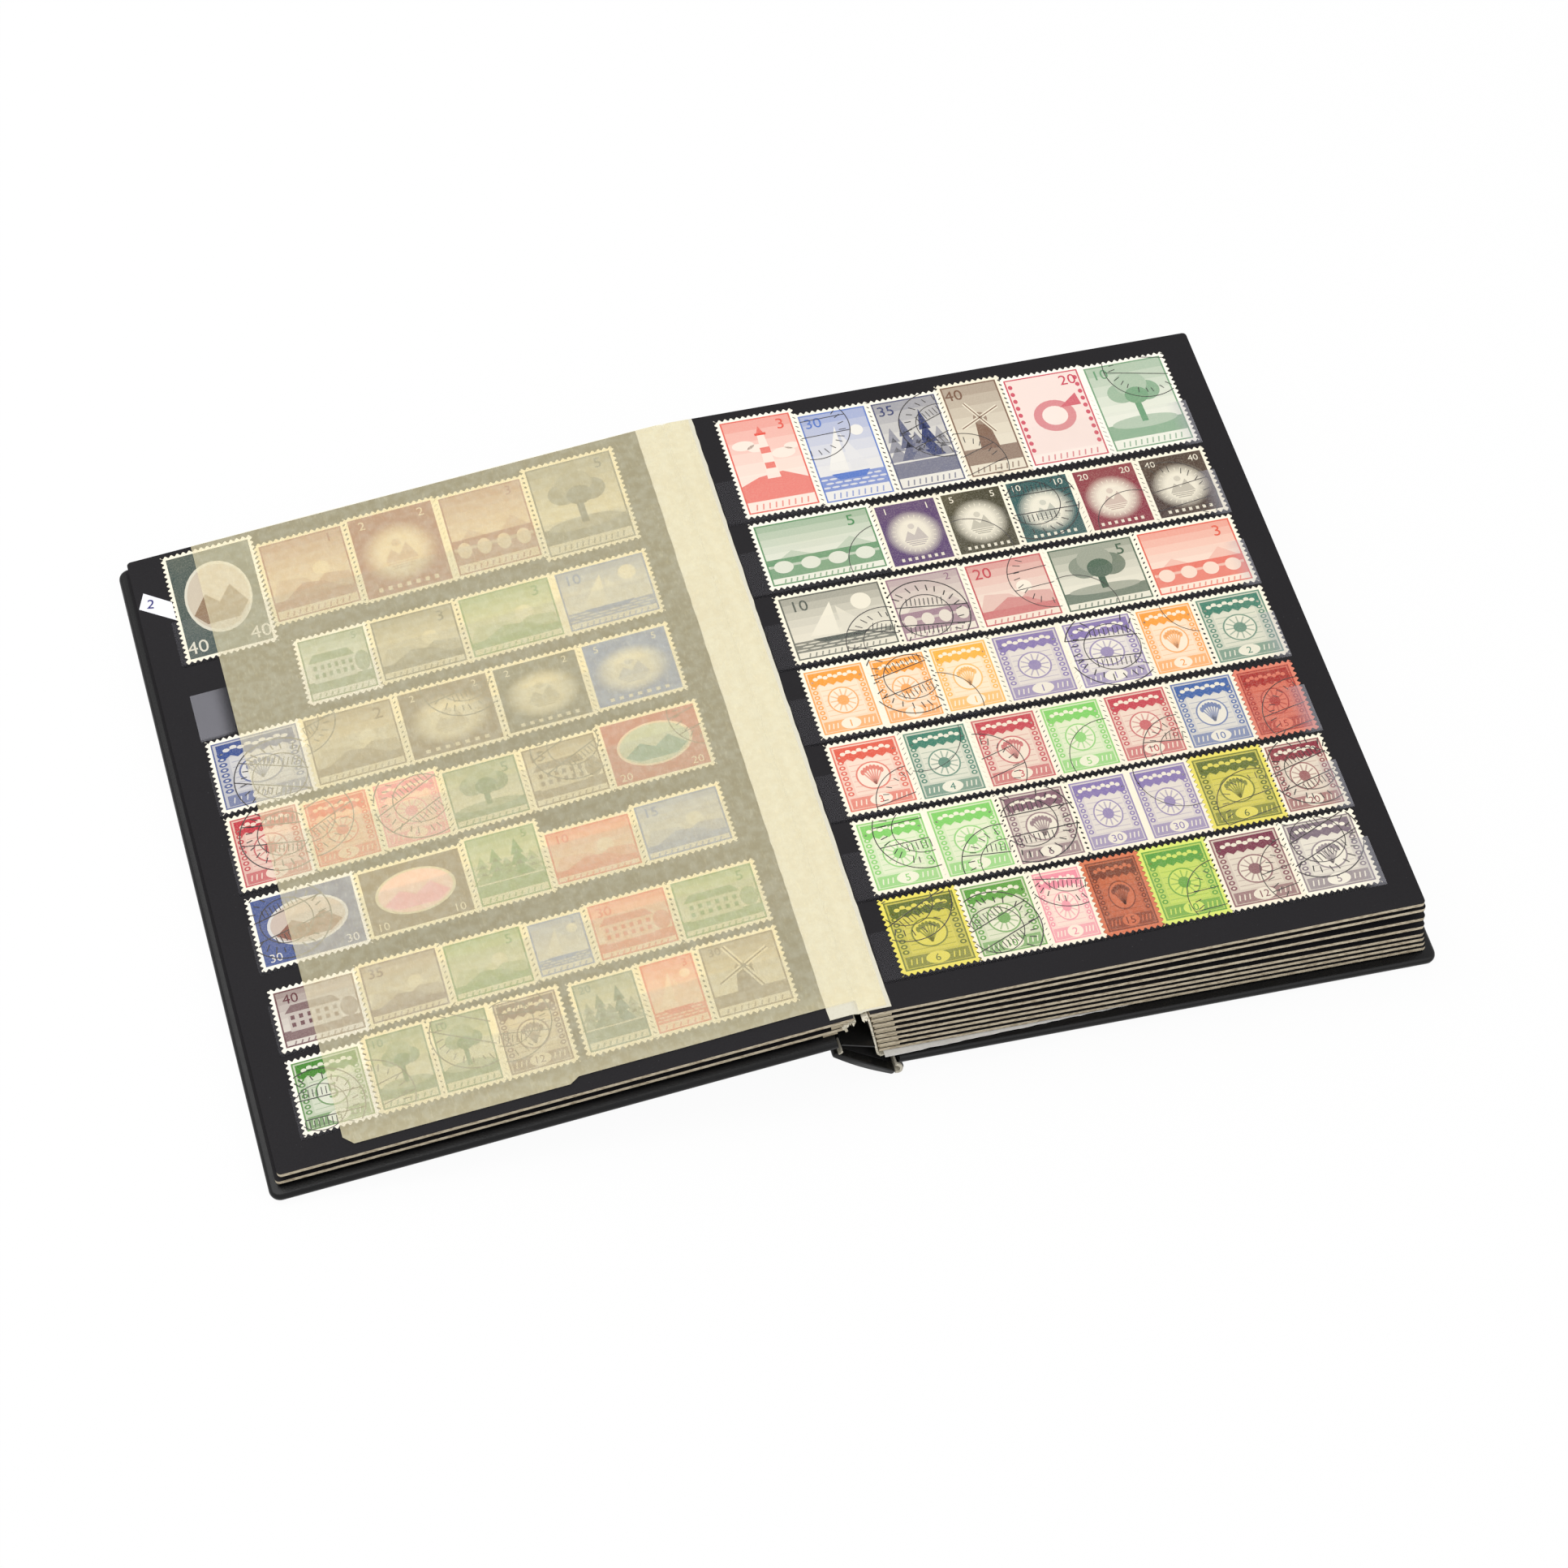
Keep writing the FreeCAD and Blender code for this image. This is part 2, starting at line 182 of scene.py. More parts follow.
def feed(tree: bpy.types.NodeTree, socket: bpy.types.NodeSocket, value: Any) -> None:
    """Link a Value or an output to a socket, or set the socket to a number or colour.

    Args:
        tree: the tree that holds both.
        socket: the input.
        value: what it gets.
    """
    if isinstance(value, Value):
        tree.links.new(value.socket, socket)
    elif isinstance(value, bpy.types.NodeSocket):
        tree.links.new(value, socket)
    elif isinstance(value, tuple) and len(value) == 3 and socket.type == "RGBA":
        socket.default_value = (*value, 1.0)
    else:
        socket.default_value = value


class Shade:
    """A material under construction: its tree, its Principled shader and helpers."""

    def __init__(self, name: str) -> None:
        """Start a node material with a Principled shader.

        Args:
            name: the material's name.
        """
        self.material = bpy.data.materials.new(name)
        self.material.use_nodes = True
        self.tree = self.material.node_tree
        self.shader = self.tree.nodes["Principled BSDF"]

    def node(self, kind: str, settings: dict[str, Any], **inputs: Any) -> bpy.types.Node:
        """Add a node; its sockets are named with _ for a space."""
        return add_node(self.tree, kind, settings, {k.replace("_", " "): v for k, v in inputs.items()})

    def out(self, node: bpy.types.Node, name: str) -> Value:
        """Return a node's output as a Value."""
        return Value(self.tree, node.outputs[name])

    def place(self, scale: tuple[float, float, float] = (1.0, 1.0, 1.0)) -> Value:
        """Return object coordinates, stretched by a scale along each axis."""
        coords = self.node("ShaderNodeTexCoord", {})
        mapping = self.node("ShaderNodeMapping", {}, Vector=self.out(coords, "Object"), Scale=scale)
        return self.out(mapping, "Vector")

    def _axis(self, kind: str, axis: str) -> Value:
        """Return one axis of a kind of texture coordinates."""
        coords = self.node("ShaderNodeTexCoord", {})
        parts = self.node("ShaderNodeSeparateXYZ", {}, Vector=self.out(coords, kind))
        return self.out(parts, axis)

    def along(self, axis: str) -> Value:
        """Return one of the object coordinates, in metres."""
        return self._axis("Object", axis)

    def facing(self, axis: str) -> Value:
        """Return one part of the surface's own direction, in object space."""
        return self._axis("Normal", axis)

    def noise(self, scale: float, detail: float = 3.0, stretch: tuple = (1.0, 1.0, 1.0)) -> Value:
        """Return noise of 0 to 1 on object coordinates; the scale is per metre."""
        node = self.node("ShaderNodeTexNoise", {}, Vector=self.place(stretch), Scale=scale, Detail=detail)
        return self.out(node, "Fac")

    def cells(self, scale: float) -> Value:
        """Return the distance to the nearest cell centre on object coordinates."""
        node = self.node("ShaderNodeTexVoronoi", {}, Vector=self.place(), Scale=scale)
        return self.out(node, "Distance")

    def tint(self, name: str) -> Value:
        """Return a colour that the mesh carries."""
        node = self.node("ShaderNodeAttribute", {"attribute_name": name})
        return self.out(node, "Color")

    def mix(self, share: Any, low: Any, high: Any) -> Value:
        """Mix two colours by a share of 0 to 1."""
        node = add_node(self.tree, "ShaderNodeMix", {"data_type": "RGBA"}, {0: share, 6: low, 7: high})
        return Value(self.tree, node.outputs[2])

    def bump(self, height: Value, strength: float, depth: float) -> Value:
        """Return a normal bumped by a height; the depth is in metres."""
        node = self.node("ShaderNodeBump", {}, Height=height, Strength=strength, Distance=depth)
        return self.out(node, "Normal")

    def finish(self, **sockets: Any) -> bpy.types.Material:
        """Set the Principled shader's sockets and return the material."""
        for key, value in sockets.items():
            feed(self.tree, self.shader.inputs[key.replace("_", " ")], value)
        return self.material


@dataclass(frozen=True)
class Leatherette:
    """Glossy black leatherette with a fine pebbled grain and rubbed edges."""

    base: Colour = linear(12, 12, 13)
    worn: Colour = linear(52, 50, 50)
    grain: float = 2600.0

    def build(self) -> bpy.types.Material:
        """Make the material.

        Returns:
            The new material.
        """
        s = Shade("black_leatherette")
        pebble = s.cells(self.grain)
        rub = s.noise(90.0, 5.0).between(0.60, 0.76)
        edge = 1.0 - s.facing("Z").size().between(0.55, 0.9)
        colour = s.mix(rub * edge * 0.45, self.base, self.worn)
        rough = 0.24 + s.noise(400.0) * 0.16 + rub * edge * 0.2
        return s.finish(Base_Color=colour, Roughness=rough, Normal=s.bump(pebble, 0.2, 0.00012),
                        Specular_IOR_Level=0.24)


@dataclass(frozen=True)
class LeafCard:
    """Black-faced card whose cut edges show a tan core."""

    face: Colour = linear(22, 20, 23)
    speck: Colour = linear(78, 76, 80)
    core: Colour = linear(199, 187, 163)
    core_dark: Colour = linear(146, 132, 109)

    def build(self) -> bpy.types.Material:
        """Make the material.

        Returns:
            The new material.
        """
        s = Shade("black_faced_card")
        flat = s.facing("Z").size().between(0.80, 0.92)
        dust = s.noise(1300.0, 2.0).between(0.72, 0.80)
        shade = s.noise(26.0, 4.0).between(0.35, 0.75)
        face = s.mix(shade * 0.5, self.face, linear(28, 26, 29))
        face = s.mix(dust * 0.35, face, self.speck)
        core = s.mix(s.noise(700.0, 3.0, (1.0, 1.0, 4.0)).between(0.4, 0.7), self.core, self.core_dark)
        fibre = s.noise(2400.0, 3.0)
        return s.finish(Base_Color=s.mix(flat, core, face), Roughness=0.62 + fibre * 0.2,
                        Normal=s.bump(fibre, 0.25, 0.00008), Specular_IOR_Level=0.22)


@dataclass(frozen=True)
class ClearFilm:
    """Clear pocket film: a faint bluish veil with a soft gloss, and a painted sheen where its loose ends
    catch the light.
    """

    veil: Colour = linear(205, 204, 214)
    share: float = 0.012
    # Extra veil at the loose ends: a painted sheen that stands for the light that they catch.
    painted_end_sheen: float = 0.13

    def build(self) -> bpy.types.Material:
        """Make the material; a painted sheen, laid on as extra pale veil, stands for the light that the film
        catches at its loose outer ends.

        Returns:
            The new material.
        """
        s = Shade("clear_pocket_film")
        across, up = s.along("X"), s.along("Y")
        right = across.above(0.0)
        # The painted sheen lies on the film's loose outer ends: in full on the right page, and on the left
        # page mostly along the row that holds no stamps.
        empty = up.between(0.036, 0.0375) * (1.0 - up.between(0.054, 0.0555))
        loose = across.size().between(0.1405, 0.1462) * (right + (1.0 - right) * (0.05 + 0.95 * empty))
        scuff = s.noise(900.0, 2.0, (1.0, 6.0, 1.0)).between(0.62, 0.8)
        alpha = self.share + loose * self.painted_end_sheen + scuff * 0.012
        return s.finish(Base_Color=self.veil, Alpha=alpha, Roughness=0.18 + scuff * 0.2)


@dataclass(frozen=True)
class PlainPaper:
    """Uncoated paper of one colour, with fibre and slight staining."""

    name: str
    colour: Colour
    stain: Colour
    mottle: float = 0.55
    fibre: float = 1500.0

    def build(self) -> bpy.types.Material:
        """Make the material.

        Returns:
            The new material.
        """
        s = Shade(self.name)
        blot = s.noise(45.0, 4.0).between(0.45, 0.75)
        fibre = s.noise(self.fibre, 3.0)
        fine = s.mix(fibre.between(0.4, 0.7) * 0.25, self.colour, self.stain)
        return s.finish(Base_Color=s.mix(blot * self.mottle, fine, self.stain), Roughness=0.8,
                        Normal=s.bump(fibre, 0.3, 0.00006), Specular_IOR_Level=0.3)


@dataclass(frozen=True)
class Glassine:
    """Translucent glassine, mottled where the fibres lie thicker."""

    colour: Colour = linear(238, 226, 184)
    pale: Colour = linear(241, 233, 198)
    foot: tuple[float, float] = (-0.1025, -0.092)

    def build(self) -> bpy.types.Material:
        """Make the material.

        Returns:
            The new material.
        """
        s = Shade("glassine_sheet")
        cloud = s.noise(420.0, 4.0).between(0.32, 0.7)
        fibre = s.noise(1500.0, 2.0, (1.0, 0.3, 1.0)).between(0.52, 0.75)
        broad = s.noise(12.0, 2.0)
        loose = 1.0 - s.along("Y").between(*self.foot)
        alpha = 0.33 + cloud * 0.05 + fibre * 0.06 + broad * 0.10 + loose * 0.12
        return s.finish(Base_Color=s.mix(cloud, self.colour, self.pale), Alpha=alpha, Roughness=0.55,
                        Specular_IOR_Level=0.2, Normal=s.bump(s.noise(60.0, 2.0), 0.15, 0.0004))


@dataclass(frozen=True)
class OpenCloth:
    """Off-white open cloth: a coarse square weave with stains of glue."""

    colour: Colour = linear(226, 220, 202)
    gap: Colour = linear(168, 158, 136)
    thread: float = 0.0009

    def build(self) -> bpy.types.Material:
        """Make the material.

        Returns:
            The new material.
        """
        s = Shade("off_white_mull")
        across = self._thread(s.along("Y"))
        along = self._thread(s.along("Z") + s.along("X") * 0.3)
        weave = across * along
        stain = s.noise(160.0, 4.0).between(0.4, 0.75)
        colour = s.mix(weave * 0.7 + stain * 0.25, self.colour, self.gap)
        return s.finish(Base_Color=colour, Roughness=0.85, Normal=s.bump(1.0 - weave, 0.5, 0.0002),
                        Specular_IOR_Level=0.2)

    def _thread(self, run: Value) -> Value:
        """Return the gaps between the threads along one direction."""
        return (run * (math.tau / self.thread)).wave().between(-0.2, 0.9)


@dataclass(frozen=True)
class Print:
    """Printed paper whose colours the mesh carries, with a slight grain of ink."""

    def build(self) -> bpy.types.Material:
        """Make the material.

        Returns:
            The new material.
        """
        s = Shade("printed_stamp_paper")
        grain = s.noise(2600.0, 2.0).between(0.35, 0.75)
        age = s.noise(60.0, 3.0).between(0.4, 0.8)
        ink = s.tint("Tint")
        colour = s.mix(grain * 0.10, ink, linear(240, 232, 210))
        colour = s.mix(age * 0.07, colour, linear(206, 188, 150))
        return s.finish(Base_Color=colour, Roughness=0.72, Normal=s.bump(grain, 0.12, 0.00004),
                        Specular_IOR_Level=0.3)


@dataclass(frozen=True)
class LayeredCard:
    """Tan guard card whose ends show the thin folded layers that it is built from, with painted shade in the
    gaps between the layers.
    """

    colour: Colour = linear(186, 174, 148)
    # Dark colour of the lines between the layers: painted shade that falls in the gaps between them.
    layer_gap_shade: Colour = linear(74, 62, 48)
    layer: float = 0.00066

    def build(self) -> bpy.types.Material:
        """Make the material.

        Returns:
            The new material.
        """
        s = Shade("tan_guard_card")
        wander = s.noise(220.0, 2.0) * 2.6
        depth = s.along("Z") + s.along("X").size() * 0.035
        # Painted shade: thin dark lines through the card's depth; they follow the real layers, and their
        # darkness stands for the shade in the gaps.
        layer_gap_shade = (depth * (math.tau / self.layer) + wander).wave().between(0.35, 0.95)
        fibre = s.noise(1500.0, 3.0)
        fine = s.mix(fibre.between(0.4, 0.7) * 0.3, self.colour, linear(150, 136, 110))
        return s.finish(Base_Color=s.mix(layer_gap_shade * 0.8, fine, self.layer_gap_shade), Roughness=0.8,
                        Normal=s.bump(fibre, 0.3, 0.00006), Specular_IOR_Level=0.3)


class Palette:
    """The finishes, made once and shared by the pieces."""

    def __init__(self) -> None:
        """Build every material."""
        self.leatherette = Leatherette().build()
        self.card = LeafCard().build()
        self.film = ClearFilm().build()
        self.tape = PlainPaper("cream_gutter_tape", linear(216, 212, 194), linear(202, 193, 170),
                               0.25).build()
        self.white = PlainPaper("white_endpaper", linear(232, 231, 228), linear(206, 203, 196)).build()
        self.slip = PlainPaper("white_slip", linear(238, 238, 242), linear(224, 224, 230)).build()
        self.guard = LayeredCard().build()
        self.glassine = Glassine().build()
        self.mull = OpenCloth().build()
        self.cloth = PlainPaper("black_spine_lining", linear(20, 19, 20), linear(34, 32, 32)).build()
        self.gusset = PlainPaper("worn_joint_lining", linear(206, 200, 184), linear(150, 142, 124)).build()
        self.writing = PlainPaper("blue_writing", linear(52, 50, 120), linear(70, 66, 140)).build()
        self.printed = Print().build()


class Side(Enum):
    """The two halves of the open album."""

    LEFT = -1
    RIGHT = 1


@dataclass(frozen=True)
class Leaf:
    """Where a leaf's face lies, so that drawings on it can be placed.

    Sizes are in millimetres: across runs outwards from the leaf's binding edge, below
    runs down from its head, and rise stands up from its face.
    """

    side: Side
    bind: float
    slope: float
    axis_x: float = -2.8936
    axis_z: float = 28.6759
    drop: float = 0.8
    height: float = 210.0

    def at(self, across: float, below: float, rise: float) -> Vector:
        """Find a point of the row frame.

        Args:
            across: how far out it lies from the binding edge.
            below: how far down from the head.
            rise: how far up from the face.

        Returns:
            The point in metres.
        """
        sign = self.side.value
        turn = math.radians(sign * self.slope)
        x = sign * (self.bind + across)
        z = rise - self.drop
        return Vector(((x * math.cos(turn) + z * math.sin(turn) + self.axis_x) * MM,
                       (self.height / 2 - below) * MM,
                       (-x * math.sin(turn) + z * math.cos(turn) + self.axis_z) * MM))


LEFT_SLOPE = 6.9593
RIGHT_LEAF = Leaf(Side.RIGHT, 2.6, 0.37)
LEFT_LEAF = Leaf(Side.LEFT, 1.9, LEFT_SLOPE)
BACK_COVER = Leaf(Side.RIGHT, 0.0, 2.0, drop=20.4)
FRONT_COVER = Leaf(Side.LEFT, 0.0, LEFT_SLOPE, drop=6.7)


class MeshMaker:
    """Collects coloured faces and turns them into one finished object."""

    def __init__(self) -> None:
        """Start with no faces."""
        self.points: list[Vector] = []
        self.faces: list[list[int]] = []
        self.tints: list[Colour] = []

    def face(self, corners: Sequence[Vector], tint: Colour = PLAIN) -> None:
        """Add one face with its own corners.

        Args:
            corners: its corners in order.
            tint: the colour that it carries.
        """
        start = len(self.points)
        self.points.extend(corners)
        self.faces.append(list(range(start, start + len(corners))))
        self.tints.append(tint)

    def mesh(self, mesh: bpy.types.Mesh, place: Callable[[Vector], Vector], tint: Colour = PLAIN) -> None:
        """Add a copy of a mesh, moved by a function of its points.

        Args:
            mesh: what is copied.
            place: gives each of its points its new place.
            tint: the colour that its faces carry.
        """
        start = len(self.points)
        self.points.extend(place(v.co) for v in mesh.vertices)
        for polygon in mesh.polygons:
            self.faces.append([start + i for i in polygon.vertices])
            self.tints.append(tint)

    def loft(self, loops: Sequence[Sequence[Vector]]) -> None:
        """Join each closed loop of points to the next one.

        Args:
            loops: the loops, each with as many points.
        """
        for a, b in zip(loops, loops[1:]):
            for i in range(len(a)):
                j = (i + 1) % len(a)
                self.face((a[i], a[j], b[j], b[i]))

    def slab(self, grid: Sequence[Sequence[Vector]], down: Vector) -> None:
        """Add a closed sheet: a grid of points, its copy moved by down, and the rim between them.

        Args:
            grid: rows of points of the upper face, turning anticlockwise seen from above.
            down: how far the lower face lies from the upper one.
        """
        rows, cols = len(grid), len(grid[0])
        start = len(self.points)
        for row in grid:
            self.points.extend(row)
        for row in grid:
            self.points.extend(point + down for point in row)
        low = rows * cols

        def quad(a: int, b: int, c: int, d: int) -> None:
            """Add one face by the numbers of its corners."""
            self.faces.append([start + a, start + b, start + c, start + d])
            self.tints.append(PLAIN)

        for i in range(rows - 1):
            for j in range(cols - 1):
                a, d = i * cols + j, (i + 1) * cols + j
                b, c = a + 1, d + 1
                quad(a, b, c, d)
                quad(low + d, low + c, low + b, low + a)
        for i in range(rows - 1):
            a, d = i * cols, (i + 1) * cols
            quad(low + a, a, d, low + d)
            a, d = a + cols - 1, d + cols - 1
            quad(a, low + a, low + d, d)
        for j in range(cols - 1):
            quad(j + 1, j, low + j, low + j + 1)
            a = (rows - 1) * cols + j
            quad(a, a + 1, low + a + 1, low + a)

    def build(self, name: str, material: bpy.types.Material) -> bpy.types.Object:
        """Make the object.

        Args:
            name: the piece's name.
            material: the finish of all its faces.

        Returns:
            The object, linked into the scene.
        """
        mesh = bpy.data.meshes.new(name)
        mesh.from_pydata(self.points, [], self.faces)
        layer = mesh.color_attributes.new("Tint", "FLOAT_COLOR", "CORNER")
        for polygon, tint in zip(mesh.polygons, self.tints):
            for corner in polygon.loop_indices:
                layer.data[corner].color = (*tint, 1.0)
        mesh.materials.append(material)
        mesh.update()
        return link(name, mesh)


def link(name: str, mesh: bpy.types.Mesh) -> bpy.types.Object:
    """Put a mesh into the scene as an object."""
    piece = bpy.data.objects.new(name, mesh)
    bpy.context.scene.collection.objects.link(piece)
    return piece


def rework(mesh: bpy.types.Mesh, step: Callable[[bmesh.types.BMesh], Any]) -> None:
    """Change a mesh by a step that works on its editable form.

    Args:
        mesh: the mesh to change.
        step: what is done to its editable form.
    """
    work = bmesh.new()
    work.from_mesh(mesh)
    step(work)
    work.to_mesh(mesh)
    work.free()


def merge(mesh: bpy.types.Mesh) -> None:
    """Join points that lie in the same place."""
    rework(mesh, lambda work: bmesh.ops.remove_doubles(work, verts=work.verts, dist=SAME_PLACE))


def outward(mesh: bpy.types.Mesh) -> None:
    """Turn all faces of a closed mesh outwards."""
    rework(mesh, lambda work: bmesh.ops.recalc_face_normals(work, faces=work.faces))


def smooth(mesh: bpy.types.Mesh) -> None:
    """Shade a mesh smoothly, keeping its sharp edges."""
    mesh.polygons.foreach_set("use_smooth", [True] * len(mesh.polygons))
    mesh.set_sharp_from_angle(angle=math.radians(SHARP_FROM))


def close_up(mesh: bpy.types.Mesh) -> None:
    """Join a shell's faces, turn them outwards and shade them smoothly."""
    merge(mesh)
    outward(mesh)
    smooth(mesh)


def curve_through(path: Sequence[Point], steps: int) -> list[Point]:
    """Return a smooth line through the points of a path.

    Args:
        path: the points.
        steps: the number of pieces between two of them.

    Returns:
        The points of the smooth line.
    """
    line: list[Point] = []
    last = len(path) - 1
    for i in range(last):
        p0, p1, p2, p3 = (path[max(0, min(last, i + k))] for k in (-1, 0, 1, 2))
        for n in range(steps):
            t = n / steps
            line.append(tuple(
                0.5 * (2 * b + (c - a) * t + (2 * a - 5 * b + 4 * c - d) * t * t
                       + (3 * b - a - 3 * c + d) * t ** 3)
                for a, b, c, d in zip(p0, p1, p2, p3)))
    line.append(path[-1])
    return line


def offset_path(path: Sequence[Point], distance: float) -> list[Point]:
    """Move a path sideways, to the left of its run.

    Args:
        path: its points.
        distance: how far it moves; a negative one moves it to the right.

    Returns:
        The moved points.
    """
    moved = []
    for i in range(len(path)):
        a, b = path[max(0, i - 1)], path[min(len(path) - 1, i + 1)]
        dx, dz = b[0] - a[0], b[1] - a[1]
        length = math.hypot(dx, dz) or 1.0
        moved.append((path[i][0] - dz / length * distance, path[i][1] + dx / length * distance))
    return moved


class PerforatedPaper:
    """A Geometry Nodes tree that cuts a sheet with toothed edges all round."""

    SIZES = {"Pitch": 1.74, "Bite": 0.8, "Thickness": 0.08}

    def __init__(self) -> None:
        """Build the tree and the object that carries its modifier."""
        self.tree = bpy.data.node_groups.new("PerforatedPaper", "GeometryNodeTree")
        self.sockets: dict[str, str] = {}
        self._inputs()
        self._nodes()
        self.carrier = link("perforator", bpy.data.meshes.new("perforator"))

    def _inputs(self) -> None:
        """Name the tree's inputs."""
        sides = self.tree.interface
        sides.new_socket("Geometry", in_out="OUTPUT", socket_type="NodeSocketGeometry")
        sides.new_socket("Geometry", in_out="INPUT", socket_type="NodeSocketGeometry")
        for name in ("Width", "Height", *self.SIZES):
            item = sides.new_socket(name, in_out="INPUT", socket_type="NodeSocketFloat")
            self.sockets[name] = item.identifier
        item = sides.new_socket("Paper", in_out="INPUT", socket_type="NodeSocketMaterial")
        self.sockets["Paper"] = item.identifier

    def _math(self, operation: str, *terms: Any) -> bpy.types.NodeSocket:
        """Add a Math node for numbers and outputs, and return its result."""
        node = add_node(self.tree, "ShaderNodeMath", {"operation": operation}, dict(enumerate(terms)))
        return node.outputs[0]

    def _nodes(self) -> None:
        """Cut a rectangle's outline into teeth, fill it and give it thickness."""
        tree = self.tree
        given = add_node(tree, "NodeGroupInput", {}, {}).outputs
        outline = add_node(tree, "GeometryNodeCurvePrimitiveQuadrilateral", {"mode": "RECTANGLE"},
                           {"Width": given["Width"], "Height": given["Height"]})
        step = self._math("DIVIDE", given["Pitch"], 8.0)
        fine = add_node(tree, "GeometryNodeResampleCurve", {"mode": "LENGTH"},
                        {"Curve": outline.outputs["Curve"], "Length": step})
        along = add_node(tree, "GeometryNodeSplineParameter", {}, {}).outputs["Length"]
        angle = self._math("MULTIPLY", self._math("DIVIDE", along, given["Pitch"]), math.tau)
        half = self._math("MULTIPLY_ADD", self._math("COSINE", angle), 0.5, 0.5)
        tooth = self._math("MULTIPLY", half, given["Bite"])
        tangent = add_node(tree, "GeometryNodeInputTangent", {}, {})
        inward = add_node(tree, "ShaderNodeVectorMath", {"operation": "CROSS_PRODUCT"},
                          {0: (0.0, 0.0, 1.0), 1: tangent.outputs[0]})
        shift = add_node(tree, "ShaderNodeVectorMath", {"operation": "SCALE"},
                         {0: inward.outputs[0], "Scale": tooth})
        cut = add_node(tree, "GeometryNodeSetPosition", {},
                       {"Geometry": fine.outputs["Curve"], "Offset": shift.outputs[0]})
        fill = add_node(tree, "GeometryNodeFillCurve", {"mode": "NGONS"}, {"Curve": cut.outputs["Geometry"]})
        thick = add_node(tree, "GeometryNodeExtrudeMesh", {"mode": "FACES"},
                         {"Mesh": fill.outputs["Mesh"], "Offset Scale": given["Thickness"]})
        whole = add_node(tree, "GeometryNodeRealizeInstances", {}, {"Geometry": thick.outputs["Mesh"]})
        paint = add_node(tree, "GeometryNodeSetMaterial", {},
                         {"Geometry": whole.outputs["Geometry"], "Material": given["Paper"]})
        add_node(tree, "NodeGroupOutput", {}, {"Geometry": paint.outputs["Geometry"]})

    def cut(self, width: float, height: float, paper: bpy.types.Material) -> bpy.types.Mesh:
        """Cut one sheet.

        Args:
            width: its width in millimetres.
            height: its height in millimetres.
            paper: its material.

        Returns:
            A plain mesh in millimetres, lying flat about the origin.
        """
        carrier = self.carrier.copy()
        bpy.context.scene.collection.objects.link(carrier)
        tool = carrier.modifiers.new("Perforate", "NODES")
        tool.node_group = self.tree
        sizes = {"Width": width, "Height": height, **self.SIZES}
        for name, value in sizes.items():
            tool[self.sockets[name]] = value
        tool[self.sockets["Paper"]] = paper
        graph = bpy.context.evaluated_depsgraph_get()
        mesh = bpy.data.meshes.new_from_object(carrier.evaluated_get(graph))
        bpy.data.objects.remove(carrier)
        return mesh

    def put_away(self) -> None:
        """Remove the carrier once every sheet is cut."""
        bpy.data.objects.remove(self.carrier)


class Numerals:
    """Plain figures as flat meshes of unit height, made once for each text."""

    def __init__(self) -> None:
        """Start with no figures."""
        self.made: dict[str, bpy.types.Mesh] = {}

    def get(self, text: str) -> bpy.types.Mesh:
        """Find or make the mesh of a number.

        Args:
            text: its figures.

        Returns:
            The mesh, of unit height and centred on the origin.
        """
        if text not in self.made:
            curve = bpy.data.curves.new("figure", "FONT")
            curve.body = text
            curve.resolution_u = 3
            holder = link("figure", curve)
            graph = bpy.context.evaluated_depsgraph_get()
            mesh = bpy.data.meshes.new_from_object(holder.evaluated_get(graph))
            bpy.data.objects.remove(holder)
            low = Vector(tuple(min(v.co[i] for v in mesh.vertices) for i in range(3)))
            high = Vector(tuple(max(v.co[i] for v in mesh.vertices) for i in range(3)))
            middle = (low + high) / 2
            scale = 1.0 / (high.y - low.y)
            mesh.transform(Matrix.Scale(scale, 4) @ Matrix.Translation(-middle))
            self.made[text] = mesh
        return self.made[text]


class Motif(Enum):
    """The stamps' generic designs."""

    LIGHTHOUSE = "lighthouse"
    SHIP = "ship"
    PINES = "pines"
    WINDMILL = "windmill"
    HORN = "horn"
    TREE = "tree"
    BRIDGE = "bridge"
    BARN = "barn"
    HILLS = "hills"
    GLOW = "glow"
    FIGURE = "figure"
    WHEEL = "wheel"
    SHEAF = "sheaf"
    OVAL = "oval"


INK: dict[str, Colour] = {
    "red": linear(226, 92, 78), "blue": linear(84, 122, 196), "navy": linear(48, 62, 112),
    "brown": linear(122, 86, 66), "rose": linear(205, 62, 92), "pale_green": linear(110, 158, 120),
    "green": linear(74, 140, 88), "purple": linear(92, 62, 112), "olive": linear(72, 68, 46),
    "teal": linear(40, 92, 92), "crimson": linear(142, 46, 66), "umber": linear(70, 48, 40),
    "slate": linear(86, 92, 84), "mauve": linear(150, 112, 132), "orange": linear(244, 162, 62),
    "amber": linear(250, 182, 70), "violet": linear(138, 122, 172), "sea": linear(58, 128, 108),
    "salmon": linear(222, 98, 78), "carmine": linear(196, 70, 84), "lime": linear(134, 204, 106),
    "royal": linear(68, 104, 164), "brick": linear(168, 48, 44), "plum": linear(132, 96, 110),
    "moss": linear(96, 110, 34), "wine": linear(126, 56, 78), "pink": linear(236, 150, 164),
    "rust": linear(122, 50, 28), "leaf": linear(92, 158, 60), "grey": linear(128, 112, 124),
    "scarlet": linear(226, 96, 74), "sky": linear(112, 142, 184), "sepia": linear(128, 98, 70),
    "fir": linear(46, 88, 66),
}
PAPER: dict[str, Colour] = {
    "cream": linear(247, 240, 220), "yellow": linear(232, 218, 52), "lime": linear(214, 226, 96),
    "salmon": linear(218, 108, 86), "terracotta": linear(208, 106, 66), "white": linear(250, 246, 234),
    "buff": linear(240, 226, 180),
}


@dataclass(frozen=True)
class Stamp:
    """One stamp: its place on the leaf in millimetres and its design."""

    near: float
    far: float
    top: float
    bottom: float
    ink: str
    motif: Motif
    value: str
    paper: str = "cream"
    second: str = ""
    cancel: float = 0.0


